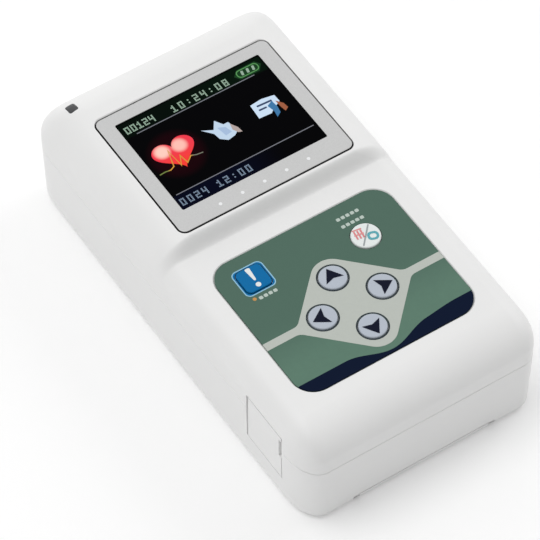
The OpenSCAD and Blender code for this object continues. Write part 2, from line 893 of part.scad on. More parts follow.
// Flexible strip from the display's frame down to its plug on the board
module display_ribbon() {
    start_y = display_y - display_frame_l / 2;
    start_h = display_frame_low_h + 1;
    plug_top_h = board_top_h + plug_h;
    bend_y = plug_y + ribbon_t;
    color(ribbon_amber) translate([-ribbon_w / 2, 0, 0])
        rotate([90, 0, 90]) linear_extrude(ribbon_w) polygon([
            [start_y, start_h],
            [start_y, start_h + ribbon_t],
            [bend_y + 1 - ribbon_t, start_h + ribbon_t],
            [plug_y, start_h - 1],
            [plug_y, plug_top_h],
            [bend_y, plug_top_h],
            [bend_y, start_h - 1],
            [bend_y + 1, start_h]
        ]);
}

// ---- keypad ----

module keypad_overlay() {
    color(keypad_green) difference() {
        translate([0, keypad_y, 0])
            rounded_plate(keypad_w, keypad_l, keypad_r, keypad_floor_h,
                keypad_face_h);
        for (at = arrow_places)
            rod(at, arrow_r + key_gap, keypad_floor_h - over, keypad_face_h + over);
        rod(mode_at, mode_r + key_gap, keypad_floor_h - over, keypad_face_h + over);
        translate(event_at)
            rounded_plate(event_side + 2 * key_gap, event_side + 2 * key_gap,
                event_r + key_gap, keypad_floor_h - over, keypad_face_h + over);
    }
}

// A round key: a cap with a bevelled edge on a stem down to its switch
module round_key(at, r, tint) {
    color(tint) translate([at[0], at[1], 0]) rotate_extrude($fn = round_fn)
        polygon([
            [0, stem_low_h],
            [stem_r, stem_low_h],
            [stem_r, key_cap_low_h],
            [r, key_cap_low_h],
            [r, key_top_h - key_edge],
            [r - key_edge, key_top_h],
            [0, key_top_h]
        ]);
}

module event_key() {
    top_side = event_side - 2 * key_edge;
    color(event_blue) translate([event_at[0], event_at[1], 0]) {
        rounded_plate(event_side, event_side, event_r, key_cap_low_h,
            key_top_h - key_edge);
        rounded_plate(top_side, top_side, event_r - key_edge,
            key_top_h - key_edge, key_top_h);
        rod([0, 0], stem_r, stem_low_h, key_cap_low_h);
    }
}

module mode_key() {
    round_key(mode_at, mode_r, key_white);
}

module up_key() {
    round_key(up_at, arrow_r, key_lavender);
}

module right_key() {
    round_key(right_at, arrow_r, key_lavender);
}

module left_key() {
    round_key(left_at, arrow_r, key_lavender);
}

module down_key() {
    round_key(down_at, arrow_r, key_lavender);
}

module key_switches() {
    color(chip_black) for (at = key_places) {
        block([at[0] - switch_side / 2, at[1] - switch_side / 2, board_top_h],
            [at[0] + switch_side / 2, at[1] + switch_side / 2, switch_top_h]);
        rod(at, plunger_r, switch_top_h, plunger_top_h);
    }
}

// Light pipe from the board's lamp to the case's surface
module status_light() {
    color(light_dark) intersection() {
        outer_form();
        block([light_x - light_w / 2, light_y - light_l / 2, light_low_h],
            [light_x + light_w / 2, light_y + light_l / 2, screen_face_h]);
    }
}

// ---- port and sockets ----

// Cover with the case's own outer surface, hung on two pins at one end
module port_cover() {
    low_h = cover_low_h;
    color(case_white) difference() {
        union() {
            intersection() {
                outer_form();
                block([-half_w - over, cover_low_y + run_gap, low_h],
                    [cover_t - half_w, hinge_y, cover_top_h]);
            }
            rod([hinge_x, hinge_y], hinge_r, low_h, cover_top_h);
            rod([hinge_x, hinge_y], hinge_pin_r, low_h - hinge_pin_l,
                cover_top_h + hinge_pin_l);
        }
        block([-half_w - over, cover_low_y - over, notch_mid_h - notch_h / 2],
            [-half_w + cover_t / 2, cover_low_y + run_gap + notch_w,
            notch_mid_h + notch_h / 2]);
    }
}

// Data socket: a metal shell, open to the side, with a tongue in its cavity
module data_socket() {
    low_y = usb_y - usb_w / 2;
    high_y = usb_y + usb_w / 2;
    color(metal) {
        difference() {
            block([usb_x, low_y, usb_low_h], [usb_x + usb_l, high_y, board_low_h]);
            block([usb_x - over, low_y + usb_shell_t, usb_low_h + usb_shell_t],
                [usb_x + usb_cavity_l, high_y - usb_shell_t,
                board_low_h - usb_shell_t]);
        }
        block([usb_x + usb_shell_t, low_y + 3 * usb_shell_t,
            board_low_h - usb_shell_t - usb_tongue_h],
            [usb_x + usb_cavity_l, high_y - 3 * usb_shell_t,
            board_low_h - 2 * usb_shell_t]);
    }
}

// Round socket for the patient lead, held by its flange behind the end wall
module lead_socket() {
    color(chip_black) translate([0, lead_back_y, joint_h]) rotate([-90, 0, 0])
        rotate_extrude($fn = round_fn) polygon([
            [0, 0],
            [lead_r, 0],
            [lead_r, lead_flange_y - lead_flange_t - lead_back_y],
            [lead_flange_r, lead_flange_y - lead_flange_t - lead_back_y],
            [lead_flange_r, lead_flange_y - lead_back_y],
            [lead_r, lead_flange_y - lead_back_y],
            [lead_r, lead_face_y - lead_back_y],
            [lead_bore_r, lead_face_y - lead_back_y],
            [lead_bore_r, lead_back_t],
            [0, lead_back_t]
        ]);
}

module lead_pins() {
    color(gold) {
        end_rod(0, joint_h, lead_pin_r, lead_floor_y, lead_floor_y + lead_pin_l);
        for (i = [0:lead_pin_count - 1])
            let (a = 360 * i / lead_pin_count)
            end_rod(lead_pin_ring * sin(a), joint_h + lead_pin_ring * cos(a),
                lead_pin_r, lead_floor_y, lead_floor_y + lead_pin_l);
    }
}

// ---- boards and what they carry ----

module main_board() {
    board_l = board_high_y - board_low_y;
    notch_half_w = lead_flange_r + board_notch_gap;
    post_notch_r = post_r + board_notch_gap;
    color(board_green) difference() {
        translate([0, (board_high_y + board_low_y) / 2, 0])
            rounded_plate(board_w, board_l, board_notch_gap, board_low_h,
                board_top_h);
        for (at = case_posts)
            rod(at, post_notch_r, board_low_h - over, board_top_h + over);
        for (at = case_posts)
            let (edge_x = sign(at[0]) * (half_w + board_w / 2))
            block([min(at[0], edge_x), at[1] - post_notch_r, board_low_h - over],
                [max(at[0], edge_x), at[1] + post_notch_r, board_top_h + over]);
        block([-half_w, cover_low_y - port_wall - board_clear, board_low_h - over],
            [port_floor_x + port_wall + board_clear,
            cover_high_y + port_wall + board_clear, board_top_h + over]);
        for (sx = [-1, 1], y = [board_post_low_y, board_post_high_y])
            rod([sx * board_post_x, y], board_screw_r + screw_gap,
                board_low_h - over, board_top_h + over);
        block([-notch_half_w, lead_back_y - board_notch_gap, board_low_h - over],
            [notch_half_w, half_l, board_top_h + over]);
    }
}

module board_chips() {
    color(chip_black) {
        block([-chip_side / 2, display_y - chip_side / 2, board_top_h],
            [chip_side / 2, display_y + chip_side / 2, board_top_h + chip_h]);
        for (i = [0:2])
            translate([-board_w / 4 + i * 2 * small_chip_w, keypad_low_y - small_chip_l,
                board_top_h])
                cube([small_chip_w, small_chip_l, chip_h]);
        block([-plug_w / 2, plug_y - plug_l / 2, board_top_h],
            [plug_w / 2, plug_y + plug_l / 2, board_top_h + plug_h]);
        block([light_x - light_w / 2, light_y - light_l / 2, board_top_h],
            [light_x + light_w / 2, light_y + light_l / 2, board_top_h + led_h]);
    }
}

// Metal can over the heart signal amplifier, under the board
module shield_can() {
    color(metal) translate([shield_at[0], shield_at[1], 0]) difference() {
        rounded_plate(shield_w, shield_l, board_notch_gap,
            board_low_h - shield_h, board_low_h);
        rounded_plate(shield_w - 2 * clip_t, shield_l - 2 * clip_t, clip_t / 2,
            board_low_h - shield_h + clip_t, board_low_h + over);
    }
}

module sounder() {
    color(chip_black) difference() {
        rod(sounder_at, sounder_r, board_low_h - sounder_h, board_low_h);
        rod(sounder_at, sounder_hole_r, board_low_h - sounder_h - over,
            board_low_h - sounder_h / 2);
    }
}

// Coin cell for the clock, held up to the board by a sprung strip
module clock_cell() {
    low_h = board_low_h - clock_cell_h;
    reach = clock_cell_r + clip_w / 2;
    color(metal) translate([clock_cell_at[0], clock_cell_at[1], 0]) {
        rod([0, 0], clock_cell_r, low_h, board_low_h);
        block([-reach, -clip_w / 2, low_h - clip_t], [reach, clip_w / 2, low_h]);
        for (sx = [-1, 1])
            translate([sx * reach, 0, low_h + (clock_cell_h - clip_t) / 2])
                cube([clip_t, clip_w, clock_cell_h + clip_t], center = true);
    }
}

// ---- battery bay ----

// A cell with its raised terminal towards one end of the case
module cell(x, side) {
    body_l = cell_l - nipple_l;
    low_y = side > 0 ? cell_low_y + leaf_room : cell_low_y;
    body_y = side > 0 ? low_y : low_y + nipple_l;
    nipple_y = side > 0 ? low_y + body_l : low_y;
    color(cell_blue) {
        end_rod(x, cell_h, cell_r, body_y, body_y + body_l);
        end_rod(x, cell_h, nipple_r, nipple_y, nipple_y + nipple_l);
    }
}

module battery_left() {
    cell(-cell_x, 1);
}

module battery_right() {
    cell(cell_x, -1);
}

// A contact plate on an end wall of the bay, with its tab up to the board
module contact_plate(x, wall_y, side) {
    low_y = min(wall_y, wall_y - side * contact_t);
    color(metal) {
        block([x - contact_half_w, low_y, cell_h - contact_half_h],
            [x + contact_half_w, low_y + contact_t, cell_h + contact_half_h]);
        block([x - tab_w / 2, low_y, cell_h + contact_half_h],
            [x + tab_w / 2, low_y + contact_t, board_low_h]);
    }
}

// Bent leaf that presses on a cell's flat end, from the top of its plate
module leaf(x, wall_y, side) {
    reach = leaf_room + contact_t;
    bend = norm([reach, contact_half_h]);
    cut_in = contact_t * bend / contact_half_h;
    cut_down = contact_t * bend / reach;
    foot_h = -contact_half_h * 0.7;
    color(metal) translate([x - contact_half_w / 2, wall_y, cell_h])
        rotate([90, 0, 90]) linear_extrude(contact_half_w) polygon([
            [0, contact_half_h],
            [-side * reach, 0],
            [-side * 3 * contact_t, foot_h],
            [-side * 2 * contact_t, foot_h],
            [-side * (reach - cut_in), 0],
            [0, contact_half_h - cut_down]
        ]);
}

module leaf_contacts() {
    contact_plate(-cell_x, bay_low_y, -1);
    leaf(-cell_x, bay_low_y, -1);
    contact_plate(cell_x, bay_high_y, 1);
    leaf(cell_x, bay_high_y, 1);
}

module plate_contacts() {
    contact_plate(-cell_x, bay_high_y, 1);
    contact_plate(cell_x, bay_low_y, -1);
}

// ---- screws ----

// A screw that points up, with a cross slot in its head
module screw(at, seat_h, top_h, r, head_r, head_h) {
    color(screw_steel) difference() {
        union() {
            rod(at, r, seat_h, top_h);
            rod(at, head_r, seat_h - head_h, seat_h);
        }
        for (turn = [0, 90])
            translate([at[0], at[1], seat_h - head_h]) rotate([0, 0, turn])
                cube([1.4 * head_r, slot_w, head_h * slot_deep], center = true);
    }
}

module case_screws() {
    for (at = case_posts)
        screw(at, case_seat_h, case_screw_top_h, case_screw_r, case_head_r,
            case_head_h);
}

module board_screws() {
    for (sx = [-1, 1], y = [board_post_low_y, board_post_high_y])
        screw([sx * board_post_x, y], board_low_h, board_top_h + board_bite,
            board_screw_r, board_head_r, board_head_h);
}

front_housing();
rear_housing();
battery_door();
screen_bezel();
bezel_gasket();
display_panel();
display_frame();
display_ribbon();
keypad_overlay();
event_key();
mode_key();
up_key();
right_key();
left_key();
down_key();
key_switches();
status_light();
port_cover();
data_socket();
lead_socket();
lead_pins();
main_board();
board_chips();
shield_can();
sounder();
clock_cell();
battery_left();
battery_right();
leaf_contacts();
plate_contacts();
case_screws();
board_screws();
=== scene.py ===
import math

import bmesh
import bpy
import numpy as np
from mathutils import Matrix, Vector


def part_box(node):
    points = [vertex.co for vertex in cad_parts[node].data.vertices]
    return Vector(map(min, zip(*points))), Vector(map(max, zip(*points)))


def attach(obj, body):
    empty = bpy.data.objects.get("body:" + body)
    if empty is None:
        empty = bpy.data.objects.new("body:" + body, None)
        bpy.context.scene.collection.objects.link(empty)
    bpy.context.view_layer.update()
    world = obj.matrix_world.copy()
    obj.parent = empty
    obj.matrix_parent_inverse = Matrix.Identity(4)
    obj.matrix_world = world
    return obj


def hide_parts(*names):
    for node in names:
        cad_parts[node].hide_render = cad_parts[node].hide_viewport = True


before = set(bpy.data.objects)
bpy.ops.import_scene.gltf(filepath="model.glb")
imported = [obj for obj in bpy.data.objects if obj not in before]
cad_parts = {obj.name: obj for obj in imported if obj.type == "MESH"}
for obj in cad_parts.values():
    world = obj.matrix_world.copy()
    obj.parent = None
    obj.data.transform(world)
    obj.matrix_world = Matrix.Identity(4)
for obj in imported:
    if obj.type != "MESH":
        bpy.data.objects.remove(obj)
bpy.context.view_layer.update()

# Looks of a pocket heart monitor: a white moulded case with a raised colour
# screen, a printed keypad with six keys, a lead socket, a port cover and a
# battery door. Sizes are in millimetres, and a mesh is made in metres.
MM = 0.001
MERGE = 0.0005  # points closer than this are one point
OVER = 1.0  # how far a cutting piece runs past the surface that it opens
FAR = 99.0  # past the case on every side
AXIS_R = 1e-4  # radius that stands for a point on a lathe's axis


def corners(node):
    """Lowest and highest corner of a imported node, in millimetres."""
    low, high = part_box(node)
    return np.array(low) / MM, np.array(high) / MM


def middle(node):
    """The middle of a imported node's box, in millimetres."""
    low, high = corners(node)
    return (low + high) / 2


# ---------------------------------------------------------------- case sizes

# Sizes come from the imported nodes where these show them. A name ends in _H for
# a height above the back, _Y for a place along the case, _R for a radius, _W
# for a width, _L for a length and _T for a thickness.
HALF_W, HALF_L, SCREEN_FACE_H = corners("front_housing")[1]
KEYPAD_LOW, KEYPAD_HIGH = corners("keypad_overlay")
KEYPAD_FACE_H = KEYPAD_HIGH[2]
SCREEN_RISE = SCREEN_FACE_H - KEYPAD_FACE_H
JOINT_H = middle("lead_socket")[2]
SHOULDER_H = 21.2
WALL = 2.2
KEYPAD_ROUND = 5.6
SCREEN_ROUND = 10.0
BOTTOM_ROUND = 9.5
TOP_ROUND = 10.0
BOTTOM_SQUARE = 2.2
TOP_SQUARE = 4.0
BACK_ROUND = 2.0
DRAFT = 0.3
GASKET_LOW = corners("bezel_gasket")[0]
BEZEL_LOW, BEZEL_HIGH = corners("screen_bezel")
BEZEL_Y = middle("screen_bezel")[1]
GASKET_W = 0.5
BEZEL_R = 1.7
BEZEL_IN = 0.12
BEAD_W = 0.38
BEZEL_TOP_H = SCREEN_FACE_H - 0.04
STEP_L = 3.3
STEP_Y1 = BEZEL_LOW[1] - GASKET_W - 0.3
STEP_Y0 = STEP_Y1 - STEP_L
INSET_SHARE = 0.7
CROWN = 0.04
SEAM_DEEP = 0.16
SEAM_HALF = 0.17

# ------------------------------------------------------------- mesh building


def linked(name, data):
    """A new object in the scene, which shows the data."""
    made = bpy.data.objects.new(name, data)
    bpy.context.scene.collection.objects.link(made)
    return made


def piece(name, points, faces):
    """A mesh object from points in millimetres."""
    mesh = bpy.data.meshes.new(name)
    mesh.from_pydata((np.asarray(points, float) * MM).tolist(), [], faces)
    mesh.validate()
    return linked(name, mesh)


def piece_of(name, bm):
    """A mesh object from a finished bmesh, which is freed."""
    mesh = bpy.data.meshes.new(name)
    bm.to_mesh(mesh)
    bm.free()
    return linked(name, mesh)


def settle(made):
    """Merges doubled points and turns every face outwards."""
    bm = bmesh.new()
    bm.from_mesh(made.data)
    bmesh.ops.remove_doubles(bm, verts=bm.verts, dist=MERGE * MM)
    bmesh.ops.dissolve_degenerate(bm, edges=bm.edges, dist=MERGE * MM)
    bmesh.ops.recalc_face_normals(bm, faces=bm.faces)
    bm.to_mesh(made.data)
    bm.free()
    return made


def evaluated(made):
    """The object with its modifiers applied."""
    graph = bpy.context.evaluated_depsgraph_get()
    mesh = bpy.data.meshes.new_from_object(made.evaluated_get(graph))
    made.modifiers.clear()
    old = made.data
    made.data = mesh
    bpy.data.meshes.remove(old)
    return made


def boolean(target, tool, operation):
    """Joins, cuts or crosses the target with a closed tool, which is used up."""
    change = target.modifiers.new(operation.lower(), "BOOLEAN")
    change.operation = operation
    change.solver = "MANIFOLD"
    change.object = tool
    evaluated(target)
    bpy.data.objects.remove(tool)
    return target


def carved(target, adds=(), cuts=()):
    """The target with closed pieces added to it, and then others cut away."""
    for tool in adds:
        boolean(target, tool, "UNION")
    for tool in cuts:
        boolean(target, tool, "DIFFERENCE")
    return target


def softened(made, width, segments=3):
    """Rounds the sharp edges of a piece."""
    bevel = made.modifiers.new("edge", "BEVEL")
    bevel.width = width * MM
    bevel.segments = segments
    bevel.limit_method = "ANGLE"
    bevel.angle_limit = math.radians(40)
    bevel.use_clamp_overlap = True
    return evaluated(made)


def smoothed(made, angle=32):
    """Smooth shading that keeps real edges sharp and flat faces flat."""
    made.data.polygons.foreach_set("use_smooth", [True] * len(made.data.polygons))
    made.data.set_sharp_from_angle(angle=math.radians(angle))
    weighted = made.modifiers.new("normals", "WEIGHTED_NORMAL")
    weighted.keep_sharp = True
    return evaluated(made)


def prism(name, outlines, low_h, high_h):
    """Flat outlines, the inner ones as holes, raised between two heights."""
    bm = bmesh.new()
    for outline in outlines:
        ring = [bm.verts.new((x * MM, y * MM, low_h * MM)) for x, y in outline]
        for i, corner in enumerate(ring):
            bm.edges.new((corner, ring[(i + 1) % len(ring)]))
    bmesh.ops.triangle_fill(bm, edges=bm.edges, use_beauty=True, use_dissolve=True)
    grown = bmesh.ops.extrude_face_region(bm, geom=bm.faces[:])["geom"]
    raised = [g for g in grown if isinstance(g, bmesh.types.BMVert)]
    bmesh.ops.translate(bm, verts=raised, vec=(0, 0, (high_h - low_h) * MM))
    bmesh.ops.recalc_face_normals(bm, faces=bm.faces)
    return piece_of(name, bm)


def arc(centre, radius, start, end, steps=12):
    """Points along an arc, its angles in degrees."""
    return [
        (centre[0] + radius * math.cos(a), centre[1] + radius * math.sin(a))
        for a in np.radians(np.linspace(start, end, steps + 1))
    ]


def circle(centre, radius, steps=64):
    """Points round a whole circle."""
    return arc(centre, radius, 0, 360 - 360 / steps, steps - 1)


def rounded(width, length, radius, at=(0, 0), steps=10):
    """A rectangle with round corners."""
    x, y = width / 2 - radius, length / 2 - radius
    points = []
    for k, (sx, sy) in enumerate(((1, 1), (-1, 1), (-1, -1), (1, -1))):
        centre = (at[0] + sx * x, at[1] + sy * y)
        points += arc(centre, radius, 90 * k, 90 * k + 90, steps)
    return points


def block(low, high):
    """A box between two opposite corners."""
    points = [(x, y, z) for x in (low[0], high[0]) for y in (low[1], high[1])
              for z in (low[2], high[2])]
    faces = [(0, 1, 3, 2), (4, 6, 7, 5), (0, 4, 5, 1), (2, 3, 7, 6), (0, 2, 6, 4),
             (1, 5, 7, 3)]
    return piece("block", points, faces)


def plate(width, length, radius, low_h, high_h, at=(0, 0), flare=0.0):
    """A plate with round corners, wider by the flare at its upper rim, for a
    recess with a soft edge."""
    levels = [(low_h, 0.0), (high_h, 0.0)]
    if flare:
        levels = [(low_h, 0.0), (high_h - flare, 0.0), (high_h, flare),
                  (high_h + OVER, flare)]
    rings = [
        [(x, y, h) for x, y in
         rounded(width + 2 * grow, length + 2 * grow, radius + grow, at)]
        for h, grow in levels
    ]
    return stacked("plate", rings)


def strips(rings):
    """The points of rings of as many points each, and the faces between them."""
    count = len(rings[0])
    points = [p for level in rings for p in level]
    faces = [
        (k * count + i, k * count + (i + 1) % count,
         (k + 1) * count + (i + 1) % count, (k + 1) * count + i)
        for k in range(len(rings) - 1) for i in range(count)
    ]
    return points, faces


def stacked(name, rings):
    """A closed form from rings of as many points each, capped at both ends."""
    points, faces = strips(rings)
    count = len(rings[0])
    faces.append(list(range(count))[::-1])
    faces.append(list(range(len(points) - count, len(points))))
    return settle(piece(name, points, faces))


def rod(at, radius, low_h, high_h, steps=64):
    """An upright rod."""
    rings = [[(x, y, h) for x, y in circle(at, radius, steps)] for h in (low_h, high_h)]
    return stacked("rod", rings)


def end_rod(x, z, radius, low_y, high_y, steps=96):
    """A rod that lies along the case."""
    rings = [[(px, y, pz) for px, pz in circle((x, z), radius, steps)]
             for y in (low_y, high_y)]
    return stacked("end_rod", rings)


def laid(made):
    """Lays an upright piece down, so that its height runs towards the top end."""
    made.data.transform(Matrix.Rotation(math.radians(-90), 4, "X"))
    return made


def lathe(name, profile, at, steps=96):
    """A round piece about an upright axis, from (radius, height) points that
    start and end on the axis."""
    rings = [[(x, y, h) for x, y in circle(at, max(radius, AXIS_R), steps)]
             for radius, h in profile]
    return stacked(name, rings)


# ------------------------------------------------------------------- repeats


class Tree:
    """A Geometry Nodes tree that copies one piece onto points."""

    def __init__(self, name, sockets):
        self.tree = bpy.data.node_groups.new(name, "GeometryNodeTree")
        self.named = {}
        for title, kind in {"Geometry": "NodeSocketGeometry", **sockets}.items():
            made = self.tree.interface.new_socket(title, in_out="INPUT",
                                                  socket_type=kind)
            self.named[title] = made.identifier
        self.tree.interface.new_socket("Geometry", in_out="OUTPUT",
                                       socket_type="NodeSocketGeometry")
        self.given = self.tree.nodes.new("NodeGroupInput")

    def node(self, kind, settings=None, links=None):
        """Adds a node: its settings first, and then its links."""
        made = self.tree.nodes.new(kind)
        for name, value in (settings or {}).items():
            setattr(made, name, value)
        for name, source in (links or {}).items():
            self.tree.links.new(source, made.inputs[name])
        return made

    def close(self, points):
        """Copies the piece onto the points, as real geometry with its finish."""
        source = self.node("GeometryNodeObjectInfo", None,
                           {"Object": self.given.outputs["Piece"]})
        copies = self.node("GeometryNodeInstanceOnPoints", None,
                           {"Points": points, "Instance": source.outputs["Geometry"]})
        real = self.node("GeometryNodeRealizeInstances", None,
                         {"Geometry": copies.outputs["Instances"]})
        dressed = self.node("GeometryNodeSetMaterial", None,
                            {"Geometry": real.outputs["Geometry"],
                             "Material": self.given.outputs["Finish"]})
        self.node("NodeGroupOutput", None, {"Geometry": dressed.outputs["Geometry"]})
        return self


COMMON = {"Piece": "NodeSocketObject", "Finish": "NodeSocketMaterial"}


def points_tree():
    """Copies the piece onto the points of the object."""
    made = Tree("copies on points", COMMON)
    return made.close(made.given.outputs["Geometry"])


def row_tree():
    """Copies the piece along a line, with the same step each time."""
    made = Tree("copies in a row", {"Count": "NodeSocketInt",
                                    "Start": "NodeSocketVector",
                                    "Step": "NodeSocketVector", **COMMON})
    given = made.given.outputs
    line = made.node("GeometryNodeMeshLine", {"mode": "OFFSET"},
                     {"Count": given["Count"], "Start Location": given["Start"],
                      "Offset": given["Step"]})
    return made.close(line.outputs["Mesh"])


def circle_tree():
    """Copies the piece round a circle."""
    made = Tree("copies in a circle", {"Count": "NodeSocketInt",
                                       "Radius": "NodeSocketFloat",
                                       "Middle": "NodeSocketVector", **COMMON})
    given = made.given.outputs
    hoop = made.node("GeometryNodeMeshCircle", None,
                     {"Vertices": given["Count"], "Radius": given["Radius"]})
    moved = made.node("GeometryNodeSetPosition", None,
                      {"Geometry": hoop.outputs["Mesh"], "Offset": given["Middle"]})
    return made.close(moved.outputs["Geometry"])


def copied(name, made_tree, unit, finish, points=(), **values):
    """Runs a tree on a new object and keeps its result as a plain mesh."""
    holder = piece(name, points or [(0, 0, 0)], [])
    change = holder.modifiers.new("copies", "NODES")
    change.node_group = made_tree.tree
    for title, value in {"Piece": unit, "Finish": finish, **values}.items():
        change[made_tree.named[title]] = value
    holder.update_tag()
    evaluated(holder)
    bpy.data.objects.remove(unit)
    return holder


def metres(*place):
    """A place in metres, as a tree's inputs take it."""
    return [coordinate * MM for coordinate in place]


# ----------------------------------------------------------- the case's form

CORNER_STEPS = 24
RISE_STEPS = 20
STEP_STATIONS = 18
BACK_STEPS = 8
INNER_STEPS = 6
INNER_BACKS = 3
LEAST_EDGE = 0.4


def ramp(y):
    """0 on the keypad's level and 1 on the screen's level."""
    t = min(1.0, max(0.0, (y - STEP_Y0) / STEP_L))
    return t * t * (3 - 2 * t)


def side_reach(y, inset):
    """How far in from its side the face starts to round off."""
    reach = KEYPAD_ROUND + (SCREEN_ROUND - KEYPAD_ROUND) * ramp(y)
    return reach - inset * INSET_SHARE


def face_h(y, inset):
    """Height of the face at a place along the case."""
    return KEYPAD_FACE_H + SCREEN_RISE * ramp(y) - inset


def corner_point(side, angle, reach, inset):
    """A point on the right-hand corner of the bottom (-1) or top (1) end: an arc
    of a squared circle, pulled in as the reach falls from 1 to 0."""
    power = 2 / (BOTTOM_SQUARE if side < 0 else TOP_SQUARE)
    along = (BOTTOM_ROUND if side < 0 else TOP_ROUND) - inset * INSET_SHARE
    y0 = HALF_L - inset - along
    across = side_reach(side * y0, inset)
    x = HALF_W - inset - across + across * reach * max(math.cos(angle), 0) ** power
    return x, side * (y0 + along * reach * max(math.sin(angle), 0) ** power)


def ring(reach, lift, flat_h, shrink, inset, steps, stations):
    """One level of the case's outline, from the bottom end round both sides. A
    lift of 0 or more is its share of the way from the shoulder to the face, and
    a negative one puts it flat, at flat_h, with its sides shrunk."""
    angles = [math.pi / 2 * i / steps for i in range(steps + 1)]
    half = [corner_point(-1, a, reach, inset) for a in reversed(angles)]
    for i in range(stations + 1):
        y = STEP_Y0 + STEP_L * i / stations
        across = side_reach(y, inset)
        half.append((HALF_W - inset - across + across * reach, y))
    half += [corner_point(1, a, reach, inset) for a in angles]
    kx, ky = 1 - shrink / HALF_W, 1 - shrink / HALF_L
    points = []
    for sign, side in ((1, half), (-1, half[::-1])):
        for x, y in side:
            rise = (face_h(y, inset) - SHOULDER_H) * max(lift, 0)
            points.append((sign * x * kx, y * ky,
                           SHOULDER_H + rise if lift >= 0 else flat_h))
    return points


def lower_rings(inset, steps, stations, backs):
    """Levels round the back's edge."""
    edge = max(BACK_ROUND - inset, LEAST_EDGE)
    rings = []
    for i in range(backs + 1):
        a = math.pi / 2 * (1 - i / backs)
        rings.append(ring(1, -1, inset + edge * (1 - math.sin(a)),
                          DRAFT + edge * (1 - math.cos(a)), inset, steps, stations))
    return rings


def upper_rings(inset, steps, stations, rises):
    """Levels from the shoulder up to the face."""
    rings = [ring(1, -1, SHOULDER_H, 0, inset, steps, stations)]
    for i in range(1, rises + 1):
        a = math.pi / 2 * i / rises
        rings.append(ring(max(math.cos(a), CROWN), math.sin(a), 0, 0, inset, steps,
                          stations))
    return rings


def hull_of(name, rings):
    """Closes rings of the case with a flat back and a face made of strips."""
    points, faces = strips(rings)
    count = len(rings[0])
    last = len(points) - count
    for i in range(count // 2 - 1):
        faces.append((last + i, last + i + 1, last + count - 2 - i, last + count - 1 - i))
        faces.append((i, count - 1 - i, count - 2 - i, i + 1))
    return settle(piece(name, points, faces))


def seam_ring(h, shrink):
    """A full-sized level near the joint line."""
    return ring(1, -1, h, shrink, 0, CORNER_STEPS, STEP_STATIONS)


def front_form():
    """Outer form above the joint line, with half of the seam's groove."""
    rings = [seam_ring(JOINT_H, SEAM_DEEP), seam_ring(JOINT_H + SEAM_HALF, 0)]
    return hull_of("front_shell", rings
                   + upper_rings(0, CORNER_STEPS, STEP_STATIONS, RISE_STEPS))


def rear_form():
    """Outer form below the joint line, with the seam's other half."""
    rings = lower_rings(0, CORNER_STEPS, STEP_STATIONS, BACK_STEPS)
    share = DRAFT * SEAM_HALF / JOINT_H
    rings += [seam_ring(JOINT_H - SEAM_HALF, share), seam_ring(JOINT_H, SEAM_DEEP)]
    return hull_of("rear_shell", rings)


def whole_form(inset=0.0, steps=CORNER_STEPS, stations=STEP_STATIONS,
               backs=BACK_STEPS, rises=RISE_STEPS):
    """The whole case as one solid, smaller all round by the inset."""
    rings = lower_rings(inset, steps, stations, backs)
    rings.append(ring(1, -1, JOINT_H, 0, inset, steps, stations))
    return hull_of("form", rings + upper_rings(inset, steps, stations, rises))


def inner_form(inset):
    """The whole form with fewer faces, for surfaces inside the case."""
    return whole_form(inset, INNER_STEPS, INNER_STEPS, INNER_BACKS, INNER_STEPS)


# ------------------------------------------------------------------ finishes


class Value:
    """A shader value. Sums and products on it add the Math nodes they need."""

    def __init__(self, nodes, socket):
        self.nodes = nodes
        self.socket = socket

    def calculated(self, operation, *others):
        return self.nodes.node("ShaderNodeMath", {"operation": operation},
                                dict(enumerate((self, *others))))

    def __add__(self, other):
        return self.calculated("ADD", other)

    __radd__ = __add__

    def __sub__(self, other):
        return self.calculated("SUBTRACT", other)

    def __rsub__(self, other):
        return (self * -1) + other

    def __mul__(self, other):
        return self.calculated("MULTIPLY", other)

    __rmul__ = __mul__

    def above(self, edge, soft):
        """0 below the edge and 1 past it, over a soft width."""
        return self.nodes.node(
            "ShaderNodeMapRange", {"interpolation_type": "SMOOTHSTEP"},
            {"Value": self, "From Min": edge - soft / 2, "From Max": edge + soft / 2})


class Nodes:
    """The node tree of a material or of the world."""

    def __init__(self, tree):
        self.tree = tree

    def fill(self, socket, value):
        """Links a shader value to a socket, or sets a plain value on it."""
        if isinstance(value, Value):
            self.tree.links.new(value.socket, socket)
        else:
            socket.default_value = (*value, 1.0) if socket.type == "RGBA" else value

    def node(self, kind, settings=None, sockets=None, output=0):
        """Adds a node: its settings first, and then its sockets."""
        made = self.tree.nodes.new(kind)
        for name, value in (settings or {}).items():
            setattr(made, name, value)
        for name, value in (sockets or {}).items():
            self.fill(made.inputs[name], value)
        return Value(self, made.outputs[output])


